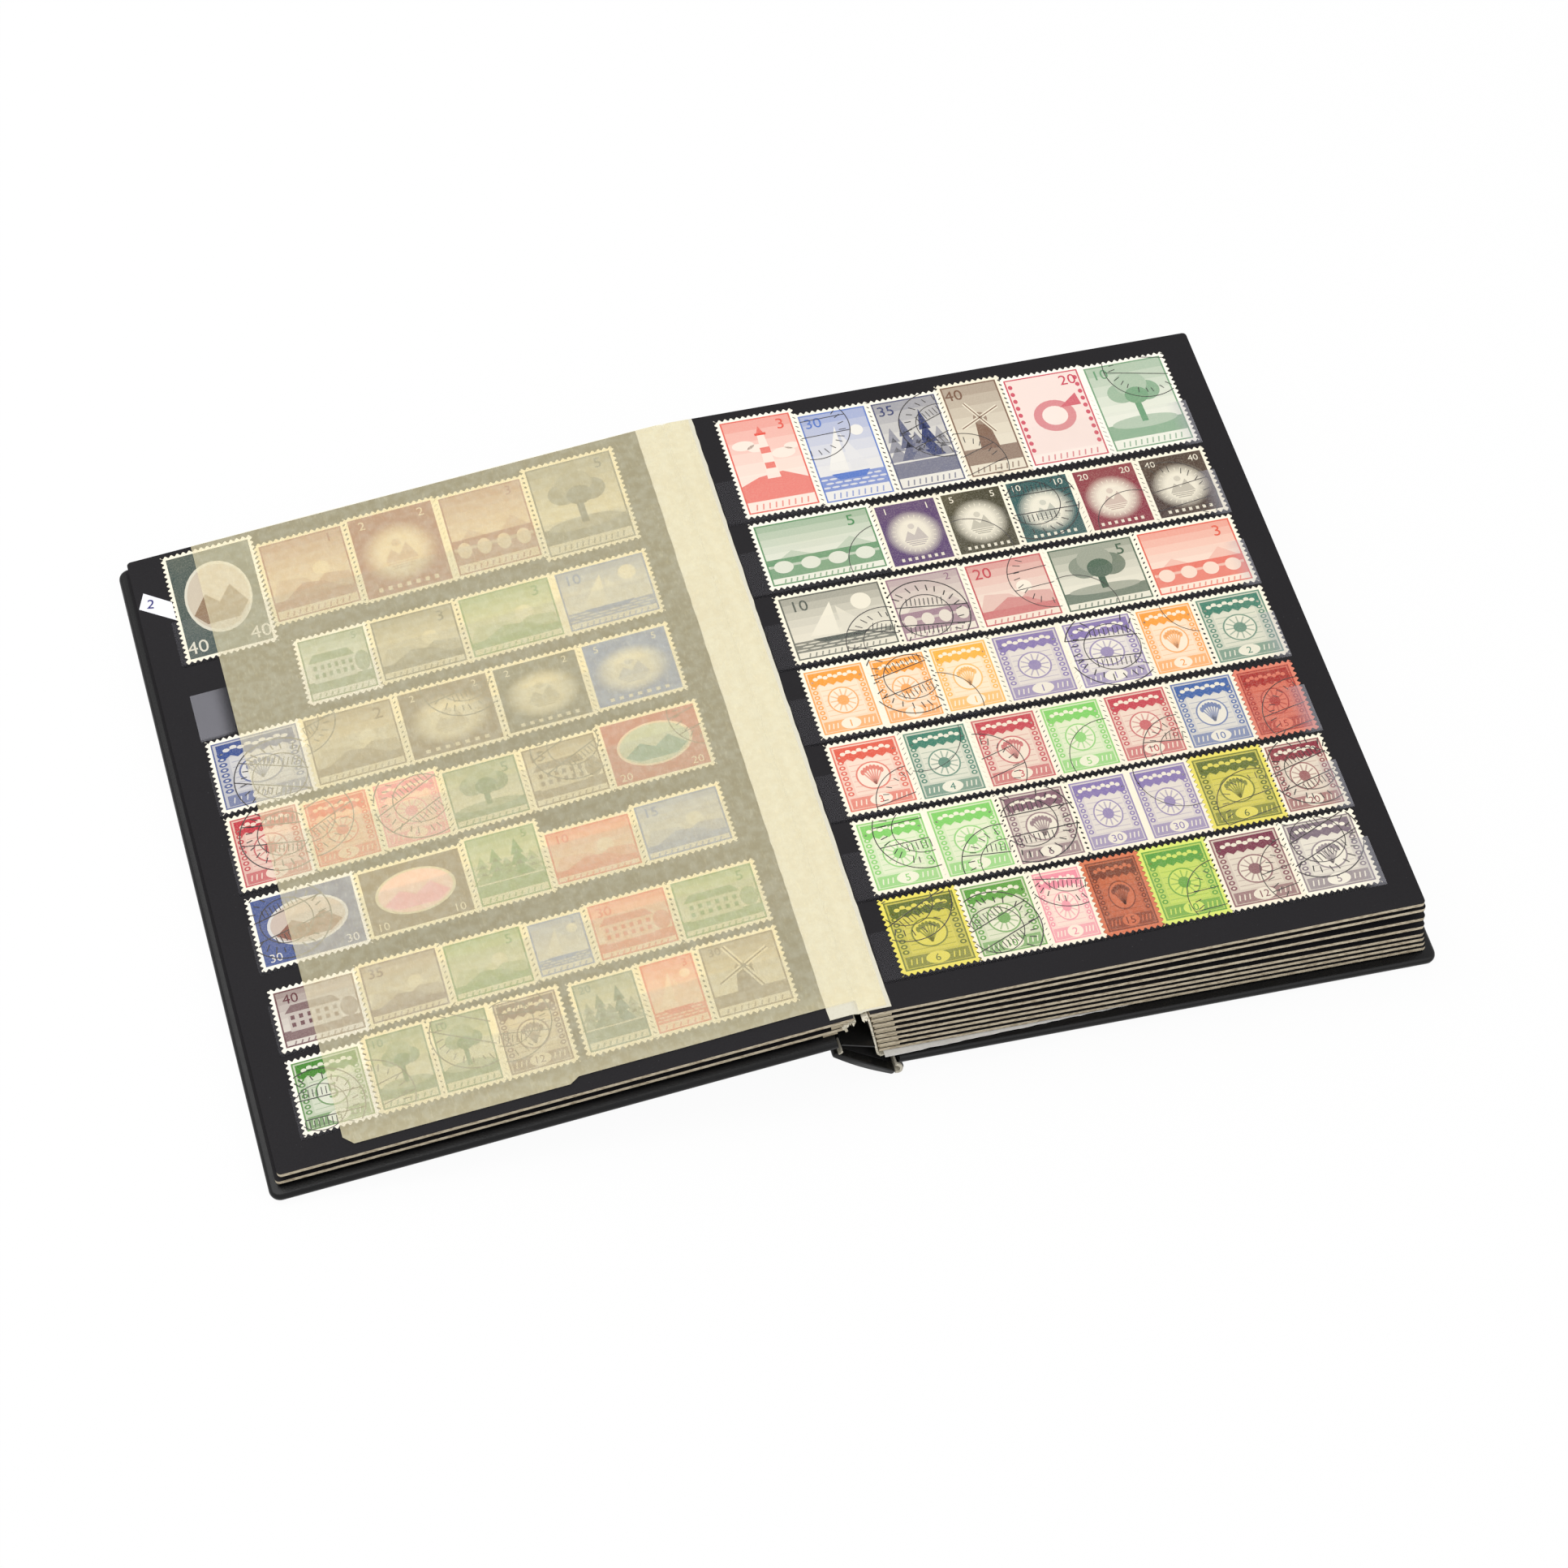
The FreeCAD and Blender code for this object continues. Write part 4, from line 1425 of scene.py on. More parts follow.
M = Motif
RIGHT_ROWS: tuple[tuple[Stamp, ...], ...] = (
    (Stamp(12.4, 34.9, 2.6, 39.8, "red", M.LIGHTHOUSE, "3", "white"),
     Stamp(35.1, 56.8, 5.0, 40.6, "blue", M.SHIP, "30", "white", cancel=0.5),
     Stamp(57.0, 78.0, 5.2, 40.6, "navy", M.PINES, "35", "white", cancel=0.6),
     Stamp(78.2, 96.8, 3.8, 40.6, "brown", M.WINDMILL, "40", cancel=0.4),
     Stamp(97.0, 121.2, 5.2, 40.6, "rose", M.HORN, "20", "white"),
     Stamp(121.4, 146.6, 5.8, 40.6, "pale_green", M.TREE, "10", "white", cancel=0.5)),
    (Stamp(12.1, 47.2, 41.8, 66.4, "green", M.BRIDGE, "5", "white", cancel=0.3),
     Stamp(47.4, 66.8, 42.6, 67.3, "purple", M.GLOW, "1"),
     Stamp(67.0, 86.2, 42.6, 67.3, "olive", M.GLOW, "5", cancel=0.3),
     Stamp(86.4, 106.2, 42.6, 67.3, "teal", M.GLOW, "10", cancel=0.9),
     Stamp(106.4, 126.2, 42.8, 67.3, "crimson", M.GLOW, "20", cancel=0.3),
     Stamp(126.4, 146.9, 42.8, 67.3, "umber", M.GLOW, "40", cancel=0.4)),
    (Stamp(12.1, 43.0, 68.6, 93.4, "slate", M.SHIP, "10", cancel=0.6),
     Stamp(43.2, 66.2, 68.8, 93.6, "mauve", M.BRIDGE, "2", cancel=1.0),
     Stamp(66.4, 90.6, 69.0, 93.8, "carmine", M.HILLS, "20", cancel=0.4),
     Stamp(90.8, 117.4, 69.0, 94.0, "fir", M.TREE, "5", cancel=0.3),
     Stamp(117.6, 146.9, 68.8, 94.0, "scarlet", M.BRIDGE, "3")),
    (Stamp(12.1, 30.6, 95.2, 120.0, "orange", M.WHEEL, "1"),
     Stamp(30.8, 48.1, 95.4, 120.2, "orange", M.WHEEL, "1", cancel=0.8),
     Stamp(48.3, 66.2, 95.2, 120.0, "amber", M.SHEAF, "1", cancel=0.3),
     Stamp(66.4, 86.8, 95.4, 120.4, "violet", M.WHEEL, "1"),
     Stamp(87.0, 108.4, 95.4, 120.7, "violet", M.WHEEL, "1", cancel=1.0),
     Stamp(108.6, 126.2, 95.6, 120.7, "orange", M.SHEAF, "2", cancel=0.2),
     Stamp(126.4, 147.2, 95.6, 120.7, "sea", M.WHEEL, "2")),
    (Stamp(12.1, 32.7, 121.8, 146.8, "salmon", M.SHEAF, "3", cancel=0.5),
     Stamp(32.9, 52.2, 122.0, 147.2, "sea", M.WHEEL, "4", cancel=0.2),
     Stamp(52.4, 72.2, 122.0, 147.4, "carmine", M.SHEAF, "3", cancel=0.5),
     Stamp(72.4, 90.6, 122.2, 147.4, "lime", M.WHEEL, "5", cancel=0.3),
     Stamp(90.8, 109.9, 122.4, 147.4, "carmine", M.WHEEL, "10", cancel=0.6),
     Stamp(110.1, 129.3, 122.4, 147.4, "royal", M.SHEAF, "10"),
     Stamp(129.5, 146.6, 122.8, 147.4, "brick", M.WHEEL, "15", "salmon", cancel=0.5)),
    (Stamp(12.1, 32.2, 148.6, 173.6, "lime", M.WHEEL, "5", cancel=0.7),
     Stamp(32.2, 52.4, 148.6, 173.6, "lime", M.WHEEL, "5", cancel=0.7),
     Stamp(52.6, 72.2, 148.6, 174.1, "plum", M.SHEAF, "6", cancel=1.0),
     Stamp(72.4, 90.0, 148.6, 174.1, "violet", M.WHEEL, "30"),
     Stamp(90.0, 107.6, 148.6, 174.1, "violet", M.WHEEL, "30", cancel=0.2),
     Stamp(107.8, 128.7, 148.8, 174.1, "moss", M.SHEAF, "6", "yellow", cancel=0.4),
     Stamp(128.9, 146.6, 149.0, 174.1, "crimson", M.WHEEL, "20", cancel=0.9)),
    (Stamp(12.1, 33.4, 175.2, 200.4, "moss", M.SHEAF, "6", "yellow", cancel=0.7),
     Stamp(33.6, 53.4, 175.2, 200.6, "leaf", M.WHEEL, "10", cancel=0.9),
     Stamp(53.6, 68.4, 175.4, 200.8, "pink", M.WHEEL, "2", cancel=0.6),
     Stamp(68.6, 84.6, 175.4, 200.8, "rust", M.SHEAF, "15", "terracotta"),
     Stamp(84.8, 103.9, 175.2, 200.8, "leaf", M.WHEEL, "10", "lime", cancel=0.4),
     Stamp(104.1, 124.9, 175.4, 200.8, "wine", M.WHEEL, "12", cancel=0.5),
     Stamp(125.1, 146.4, 175.4, 200.8, "grey", M.SHEAF, "5", cancel=0.9)),
)
LEFT_ROWS: tuple[tuple[Stamp, ...], ...] = (
    (Stamp(120.2, 146.0, 1.4, 40.6, "teal", M.OVAL, "40", second="sepia"),
     Stamp(93.8, 119.6, 5.2, 35.6, "brick", M.HILLS, "1", "buff"),
     Stamp(67.2, 93.6, 4.4, 36.2, "brick", M.GLOW, "2", "buff"),
     Stamp(41.2, 67.0, 5.0, 36.2, "brick", M.BRIDGE, "3", "buff"),
     Stamp(14.2, 41.0, 3.2, 38.0, "slate", M.TREE, "5", "buff")),
    (Stamp(95.4, 116.2, 41.8, 65.8, "green", M.BARN, "5"),
     Stamp(69.8, 95.2, 41.8, 65.2, "olive", M.HILLS, "3", "buff"),
     Stamp(41.8, 69.6, 41.8, 65.2, "leaf", M.HILLS, "3", "buff"),
     Stamp(14.2, 41.6, 41.8, 65.2, "sky", M.SHIP, "10", "buff")),
    (Stamp(120.4, 146.6, 68.6, 94.0, "royal", M.SHEAF, "20", "white", cancel=1.0),
     Stamp(93.6, 120.2, 68.8, 94.0, "sepia", M.HILLS, "2", "buff", cancel=0.7),
     Stamp(66.2, 93.4, 68.6, 94.0, "sepia", M.GLOW, "2", "buff", cancel=0.7),
     Stamp(40.6, 66.0, 68.6, 93.6, "olive", M.GLOW, "2", "buff"),
     Stamp(14.8, 40.4, 68.6, 93.2, "sky", M.GLOW, "5", "buff")),
    (Stamp(126.2, 146.6, 95.2, 120.7, "rose", M.WHEEL, "3", cancel=1.0),
     Stamp(106.8, 126.0, 96.4, 120.5, "scarlet", M.WHEEL, "5", "buff", cancel=0.6),
     Stamp(87.4, 106.6, 96.4, 120.2, "pink", M.WHEEL, "6", "buff", cancel=0.8),
     Stamp(65.0, 87.2, 98.0, 120.0, "green", M.TREE, "5", "buff"),
     Stamp(42.4, 64.8, 97.8, 120.0, "sepia", M.BARN, "15", "buff", cancel=0.7),
     Stamp(13.8, 42.2, 96.8, 120.0, "carmine", M.OVAL, "20", "buff", second="sea", cancel=0.4)),
    (Stamp(116.8, 146.6, 123.0, 147.4, "royal", M.OVAL, "30", "white", second="rust", cancel=1.0),
     Stamp(86.8, 116.6, 123.4, 146.8, "sepia", M.OVAL, "10", "buff", second="pink"),
     Stamp(65.4, 86.6, 121.8, 146.8, "leaf", M.PINES, "5", "buff"),
     Stamp(40.0, 65.2, 126.8, 146.2, "salmon", M.HILLS, "10", "buff"),
     Stamp(14.8, 39.8, 125.6, 146.2, "sky", M.HILLS, "15", "buff")),
    (Stamp(123.0, 146.6, 153.6, 174.1, "wine", M.BARN, "40", "white"),
     Stamp(100.0, 122.8, 152.8, 173.8, "plum", M.HILLS, "35", "buff"),
     Stamp(76.8, 99.8, 153.2, 173.8, "leaf", M.HILLS, "5", "buff"),
     Stamp(60.0, 76.6, 153.8, 173.4, "sky", M.SHIP, "2", "buff"),
     Stamp(36.8, 59.8, 153.0, 173.4, "salmon", M.BARN, "30", "buff"),
     Stamp(12.4, 36.6, 152.8, 173.6, "leaf", M.BARN, "5", "buff")),
    (Stamp(126.4, 146.6, 176.6, 200.8, "leaf", M.FIGURE, "5", "white", cancel=0.8),
     Stamp(108.6, 126.0, 175.2, 200.6, "green", M.TREE, "10", "buff", cancel=0.5),
     Stamp(91.6, 108.6, 175.2, 200.6, "green", M.TREE, "10", "buff", cancel=0.5),
     Stamp(72.4, 91.4, 175.4, 200.6, "wine", M.SHEAF, "12", "buff", cancel=0.6),
     Stamp(51.2, 69.8, 176.0, 200.2, "sea", M.PINES, "20", "buff"),
     Stamp(34.8, 51.0, 175.6, 200.2, "scarlet", M.SHIP, "3", "buff"),
     Stamp(12.4, 34.6, 175.2, 200.4, "sepia", M.WINDMILL, "30", "buff")),
)


@dataclass(frozen=True)
class PrintLook:
    """How heavily a page's stamps are printed: ink in the lightest parts, and depth of the ink."""

    depth: float
    heavy: float


@dataclass
class StampRows:
    """The printed, perforated stamps that stand for the plain plates of each row."""

    palette: Palette
    margin: float = 1.45
    lap: float = 0.5
    lap_lift: float = 0.004
    extra_height: float = 0.15
    cancel_rim: float = 0.5
    tilt: float = 0.35
    ageing: float = 0.22
    aged: Colour = linear(222, 206, 168)
    paper: PerforatedPaper = field(default_factory=PerforatedPaper)
    figures: Numerals = field(default_factory=Numerals)

    def build(self, leaf: Leaf, rows: Sequence[Sequence[Stamp]], body: str, word: str,
              look: PrintLook) -> None:
        """Make one piece for each row of a leaf.

        Args:
            leaf: the leaf that carries them.
            rows: the stamps, row by row.
            body: the body that they ride on.
            word: the first word of the rows' node names.
            look: how heavily they are printed.
        """
        for number, row in enumerate(rows, 1):
            maker = MeshMaker()
            dice = random.Random(100 * number + (1 if word == "left" else 2))
            for place, stamp in enumerate(row):
                self._stamp(maker, leaf, stamp, dice, self.lap_lift * (place % 2), look)
            node = f"{word}_stamps_row_{number}"
            piece = maker.build(node.replace("_row", "_printed_row"), self.palette.printed)
            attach(piece, body)
            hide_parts(node)
            LOG.info("%s: %d stamps", piece.name, len(row))

    def _stamp(self, maker: MeshMaker, leaf: Leaf, stamp: Stamp, dice: random.Random, lift: float,
               look: PrintLook) -> None:
        """Add one stamp's paper, design and cancel to a row.

        Args:
            maker: collects the row's faces.
            leaf: the leaf that carries it.
            stamp: its place and design.
            dice: the row's source of chance.
            lift: how far it is raised, so that its edge can lap its neighbour's.
            look: how heavily it is printed.
        """
        sign = leaf.side.value
        tilt = math.radians(dice.uniform(-self.tilt, self.tilt))
        mid_u = (stamp.near + stamp.far) / 2
        mid_v = (stamp.top + stamp.bottom) / 2
        half_w = (stamp.far - stamp.near) / 2 + self.lap
        half_h = (stamp.bottom - stamp.top) / 2 + self.extra_height

        def place(x: float, y: float, rise: float) -> Vector:
            """Turn a point of the stamp into a point of the row frame."""
            px = x * math.cos(tilt) - y * math.sin(tilt)
            py = x * math.sin(tilt) + y * math.cos(tilt)
            return leaf.at(mid_u + sign * px, mid_v - py, rise + lift)

        aged = blend_colours(PAPER[stamp.paper], self.aged, dice.uniform(0.0, self.ageing))
        sheet = self.paper.cut(2 * half_w, 2 * half_h, self.palette.printed)
        maker.mesh(sheet, lambda co: place(co.x, co.y, co.z), aged)
        bpy.data.meshes.remove(sheet)
        ink = deepened(INK[stamp.ink], look.heavy)
        pen = Drawing(maker, place, self.figures, ink, aged, look.depth)
        Engraver(pen, half_w - self.margin, half_h - self.margin, stamp).draw()
        if stamp.cancel:
            Postmark(pen, half_w - self.cancel_rim, half_h - self.cancel_rim, dice).draw(stamp.cancel)


@dataclass
class InterleafSheet:
    """The translucent sheet over the left page, hung from the gutter, with a chipped corner."""

    palette: Palette
    leaf: Leaf = LEFT_LEAF
    head: float = 0.15
    outer: float = 137.2
    inner: float = -1.85
    step_at: float = 76.2
    chip_at: float = 134.6
    chip_slope: float = 1.04
    inner_foot: float = 204.9
    outer_foot: float = 207.3
    outer_fall: float = 0.4
    outer_run: float = 58.0
    flange: tuple[float, ...] = (-2.5, -0.6, 1.5, 5.1)
    flange_foot: float = 208.2

    def _foot(self, across: float) -> float:
        """Find where the sheet's near edge lies.

        Args:
            across: the distance from the binding edge.

        Returns:
            The edge's distance from the leaf's head.
        """
        if across < self.step_at:
            return self.inner_foot + 0.3 * across / self.step_at
        straight = self.outer_foot - self.outer_fall * (across - self.step_at) / self.outer_run
        chip = self.outer_foot - self.outer_fall - self.chip_slope * max(0.0, across - self.chip_at)
        return min(straight, chip)

    def _rise(self, across: float, below: float) -> float:
        """Return the sheet's height above the card: nearly flat, with soft waves."""
        wave = math.sin(across * 0.11 + below * 0.03) * math.sin(below * 0.07 - across * 0.02)
        seat = min(1.0, max(0.0, (across - self.inner) / 9.0))
        return 0.31 + seat * (0.12 + 0.10 * wave)

    def build(self) -> None:
        """Make the sheet."""
        maker = MeshMaker()
        columns = [self.inner + (self.step_at - self.inner) * i / 30 for i in range(31)]
        columns += [self.step_at + 0.25 + (self.outer - self.step_at - 0.25) * i / 30 for i in range(31)]
        columns.append(self.chip_at)
        columns.sort()
        rows = 80
        for a, b in zip(columns, columns[1:]):
            for i in range(rows):
                corners = []
                for across, k in ((a, i), (a, i + 1), (b, i + 1), (b, i)):
                    below = self.head + (self._foot(across) - self.head) * k / rows
                    corners.append(self.leaf.at(across, below, self._rise(across, below)))
                maker.face(list(reversed(corners)))
        piece = maker.build("glassine_interleaf", self.palette.glassine)
        merge(piece.data)
        piece.visible_shadow = False
        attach(piece, "interleaf")
        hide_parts("interleaf")
        size = ((self.outer - self.inner) * MM, (self._foot(self.step_at) - self.head) * MM)
        LOG.info("%s: %d faces", piece.name, len(piece.data.polygons))
        self._flange()

    def _flange(self) -> None:
        """Make the narrow glued edge that crosses the gutter onto the right page's tape."""
        maker = MeshMaker()
        rows = 60
        for i in range(rows):
            for a, b in zip(self.flange, self.flange[1:]):
                corners = []
                for across, k in ((a, i), (b, i), (b, i + 1), (a, i + 1)):
                    below = self.head + (self.flange_foot - self.head) * k / rows
                    corners.append(RIGHT_LEAF.at(across, below, 0.2 + 0.01 * math.sin(k * 1.7)))
                maker.face(list(reversed(corners)))
        piece = maker.build("glassine_flange", self.palette.glassine)
        merge(piece.data)
        piece.visible_shadow = False
        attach(piece, "leaf_03")
        LOG.info("%s: made", piece.name)


@dataclass
class GutterTape:
    """Both halves of the cream tape, dipping into the gutter between the pages."""

    palette: Palette
    width: float = 6.2
    head: float = 0.1
    tail: float = 1.2
    start: float = 0.04
    thick: float = 0.14
    uneven: float = 0.12
    section: tuple[Point, ...] = ((0.0, -0.55), (0.06, -0.30), (0.16, 0.02), (0.3, 0.15), (0.6, 0.16),
                                  (1.0, 0.16))

    def build(self) -> None:
        """Make one half on each top leaf."""
        self._half(LEFT_LEAF, "leaf_02", "left")
        self._half(RIGHT_LEAF, "leaf_03", "right")

    def _half(self, leaf: Leaf, body: str, word: str) -> None:
        """Make one half as a thin strip with slightly uneven edges.

        Args:
            leaf: the leaf that it is glued to.
            body: the body that it rides on.
            word: the side's name.
        """
        dice = random.Random(7 if word == "left" else 8)
        maker = MeshMaker()
        steps = 70
        grid = []
        for i in range(steps + 1):
            below = self.head + (leaf.height - self.head - self.tail) * i / steps
            edge = self.width + dice.uniform(-self.uneven, self.uneven)
            row = []
            for share, rise in self.section:
                across = -leaf.bind + self.start + (edge + leaf.bind - self.start) * share
                row.append(leaf.at(across, below, rise))
            grid.append(row if leaf.side is Side.LEFT else row[::-1])
        maker.slab([row[::-1] for row in grid][::-1], Vector((0.0, 0.0, -self.thick * MM)))
        piece = maker.build(f"gutter_tape_{word}_half", self.palette.tape)
        outward(piece.data)
        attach(piece, body)
        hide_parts(f"gutter_tape_{word}")
        LOG.info("%s: made", piece.name)


@dataclass
class SpineCase:
    """The rounded spine, the soft joints beside it and the worn lining at its tail."""

    palette: Palette
    half: float = 107.9
    back_end: Point = (7.544, 1.048)
    front_end: Point = (-10.075, 15.832)

    def build(self) -> None:
        """Make the spine and its joints."""
        self._spine()
        self._back_gusset()
        self._front_skin()
        self._front_fold()

    def _section(self, along: float, off: float) -> Point:
        """Find a point of the spine's section.

        Args:
            along: its distance from the front end.
            off: its distance from the middle line, towards the leaves.

        Returns:
            The point in millimetres.
        """
        dx, dz = self.back_end[0] - self.front_end[0], self.back_end[1] - self.front_end[1]
        length = math.hypot(dx, dz)
        ux, uz = dx / length, dz / length
        return (self.front_end[0] + ux * along - uz * off, self.front_end[1] + uz * along + ux * off)

    def _spine(self) -> None:
        """Make the spine as one rounded bar, wrapped at head and tail."""
        length = math.hypot(self.back_end[0] - self.front_end[0], self.back_end[1] - self.front_end[1])
        ring: list[Point] = []
        for i in range(13):
            k = i / 12
            ring.append((-0.05 + (length - 0.75) * k, -0.7 - 0.9 * math.sin(math.pi * k)))
        ring += [(length - 0.45, -0.3), (length - 0.45, 0.3), (length - 0.9, 0.8)]
        ring += [(length * 0.5, 0.6), (0.9, 0.8), (-0.4, 0.74), (-0.45, 0.0)]
        middle = (length / 2, -0.3)
        maker = MeshMaker()
        levels = ((-self.half, 0.72), (-self.half + 0.25, 0.92), (-self.half + 0.8, 1.0))
        levels += tuple((-y, k) for y, k in reversed(levels))
        loops = []
        for y, k in levels:
            loop = []
            for along, off in ring:
                off_k = middle[1] + (off - middle[1]) * k
                along_k = middle[0] + (along - middle[0]) * (1.0 - (1.0 - k) * 0.06)
                x, z = self._section(along_k, off_k)
                loop.append(Vector((x * MM, y * MM, z * MM)))
            loops.append(loop)
        maker.loft(loops)
        maker.face(loops[0][::-1])
        maker.face(loops[-1])
        piece = maker.build("spine_wrap", self.palette.leatherette)
        close_up(piece.data)
        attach(piece, "spine")
        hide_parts("spine_board", "spine_leatherette")
        LOG.info("%s: made", piece.name)

    def _ribbon(self, name: str, path: Sequence[Point], thick: float, y: tuple[float, float],
                material: bpy.types.Material) -> bpy.types.Object:
        """Make a strip that follows a section path along the album.

        Args:
            name: the piece's name.
            path: its section in millimetres.
            thick: its thickness, laid to the left of the path's run.
            y: where it starts and ends along the album.
            material: its finish.

        Returns:
            The new object.
        """
        fine = curve_through(path, 5)
        maker = MeshMaker()
        ring = fine + offset_path(fine, thick)[::-1]
        loops = []
        count = 24
        for i in range(count + 1):
            here = y[0] + (y[1] - y[0]) * i / count
            loops.append([Vector((px * MM, here * MM, pz * MM)) for px, pz in ring])
        maker.loft(loops)
        n = len(fine)
        for loop, flip in ((loops[0], True), (loops[-1], False)):
            for i in range(n - 1):
                face = (loop[i], loop[i + 1], loop[2 * n - 2 - i], loop[2 * n - 1 - i])
                maker.face(face[::-1] if flip else face)
        piece = maker.build(name, material)
        close_up(piece.data)
        return piece

    def _back_gusset(self) -> None:
        """Make the joint between the back cover and the spine: black outside, pale inside."""
        path = ((8.1, 5.6), (9.3, 4.6), (9.95, 2.9), (9.6, 1.2), (8.6, 0.55), (7.4, 0.8))
        outer = self._ribbon("back_joint_skin", path, -0.28, (-107.2, 107.2), self.palette.leatherette)
        inner = self._ribbon("back_joint_backing", offset_path(list(path), -0.30), -0.8, (-107.8, 107.0),
                             self.palette.gusset)
        for piece in (outer, inner):
            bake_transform(piece)
            LOG.info("%s: made", piece.name)
        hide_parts("back_joint")

    def _front_skin(self) -> None:
        """Make the front cover's joint strip, long enough to meet the spine when the album is shut."""
        path = ((-8.31, 19.63), (-5.16, 18.23), (-2.01, 16.83), (1.01, 15.49))
        piece = self._ribbon("front_joint_skin", path, 0.5, (-107.5, 107.5), self.palette.leatherette)
        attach(piece, "front_joint")
        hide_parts("front_joint")
        LOG.info("%s: made", piece.name)

    def _front_fold(self) -> None:
        """Make the worn fold that shows between the front cover and the spine at the tail."""
        path = ((-8.35, 16.75), (-8.15, 16.5), (-8.4, 16.15), (-9.3, 15.75))
        piece = self._ribbon("front_joint_fold", path, 0.45, (-107.6, -103.0), self.palette.gusset)
        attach(piece, "spine")
        LOG.info("%s: made", piece.name)


@dataclass
class Cover:
    """One cover wrapped in leatherette: a plate with rounded corners and a soft rim."""

    palette: Palette
    leaf: Leaf
    body: str
    inner: float
    width: float = 154.0
    thick: float = 2.5
    corner: float = 3.2
    rim: float = 1.1
    half: float = 108.0

    def _outline(self, inset: float) -> list[Point]:
        """Trace the cover's outline; only the outer corners are rounded.

        Args:
            inset: how far the outline is drawn in.

        Returns:
            Its points in millimetres.
        """
        left, right = self.inner + min(inset, 0.25), self.inner + self.width - inset
        reach = self.half - inset
        radius = max(self.corner - inset, 0.6)
        points = [(left, -reach)]
        middle = (right - radius, reach - radius)
        for end, start in ((-1, -90.0), (1, 0.0)):
            for i in range(9):
                a = math.radians(start + 90.0 * i / 8)
                points.append((middle[0] + radius * math.cos(a), end * middle[1] + radius * math.sin(a)))
        points.append((left, reach))
        return points

    def build(self) -> None:
        """Make the plate from outlines stacked through its thickness."""
        levels = []
        for i in range(7):
            a = math.radians(-90.0 + 180.0 * i / 6)
            levels.append((self.thick / 2 * (1.0 + math.sin(a)), self.rim * (1.0 - math.cos(a))))
        maker = MeshMaker()
        loops = []
        for rise, inset in levels:
            mid = self.leaf.height / 2
            loops.append([self.leaf.at(u, mid - y, rise - self.thick) for u, y in self._outline(inset)])
        maker.loft(loops)
        maker.face(loops[0][::-1])
        maker.face(loops[-1])
        word = self.body.split("_")[0]
        piece = maker.build(f"{word}_cover_wrap", self.palette.leatherette)
        close_up(piece.data)
        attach(piece, self.body)
        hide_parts(f"{word}_board", f"{word}_leatherette")
        LOG.info("%s: made", piece.name)


@dataclass
class MullLining:
    """The off-white cloth along the binding edges, ragged where it shows at the tail."""

    palette: Palette
    seed: int = 21
    ends: tuple[float, float] = (-106.0, 103.6)
    fray: float = 1.1
    wall_thick: float = -0.55
    flap_thick: float = -0.7

    def build(self) -> None:
        """Make the wall beside the right-hand leaves and the flap under the left-hand ones."""
        wall = ((-2.35, 26.25), (-1.2, 26.75), (-0.35, 26.2), (1.5, 17.7), (3.35, 8.35), (5.2, 7.95))
        piece = self._strip("mull_wall", wall, self.wall_thick)
        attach(piece, "back_cover")
        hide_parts("mull_lining")
        flap = ((-7.25, 25.75), (-6.2, 25.65), (-5.0, 25.9), (-3.95, 25.85))
        hang = ((-7.3, 25.2), (-6.9, 24.5), (-6.5, 23.9), (-6.2, 23.3))
        for name, path in (("mull_flap", flap), ("mull_hanging_edge", hang)):
            piece = self._strip(name, path, self.flap_thick)
            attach(piece, "leaf_01")

    def _strip(self, name: str, path: Sequence[Point], thick: float) -> bpy.types.Object:
        """Make one strip of cloth with a ragged edge at head and tail.

        Args:
            name: the piece's name.
            path: its section in millimetres.
            thick: its thickness, laid to the left of the path's run.

        Returns:
            The new object.
        """
        dice = random.Random(self.seed + len(name))
        fine = curve_through(path, 6)
        other = offset_path(fine, thick)
        maker = MeshMaker()
        ragged = [dice.uniform(0.0, self.fray) for _ in fine]
        for i in range(len(fine) - 1):
            corners = ((fine[i], ragged[i]), (fine[i + 1], ragged[i + 1]),
                       (other[i + 1], ragged[i + 1]), (other[i], ragged[i]))
            ends = [[Vector((p[0] * MM, (end + sign * k) * MM, p[1] * MM)) for p, k in corners]
                    for end, sign in zip(self.ends, (1, -1))]
            maker.face(ends[0])
            maker.face(ends[1][::-1])
            maker.face((ends[0][0], ends[1][0], ends[1][1], ends[0][1]))
            maker.face((ends[0][2], ends[1][2], ends[1][3], ends[0][3]))
        for i in (0, -1):
            tail, head = self.ends[0] + ragged[i], self.ends[1] - ragged[i]
            edge = [Vector((p[0] * MM, y * MM, p[1] * MM))
                    for p, y in ((fine[i], tail), (fine[i], head), (other[i], head), (other[i], tail))]
            maker.face(edge)
        piece = maker.build(name, self.palette.mull)
        merge(piece.data)
        outward(piece.data)
        LOG.info("%s: made", piece.name)
        return piece


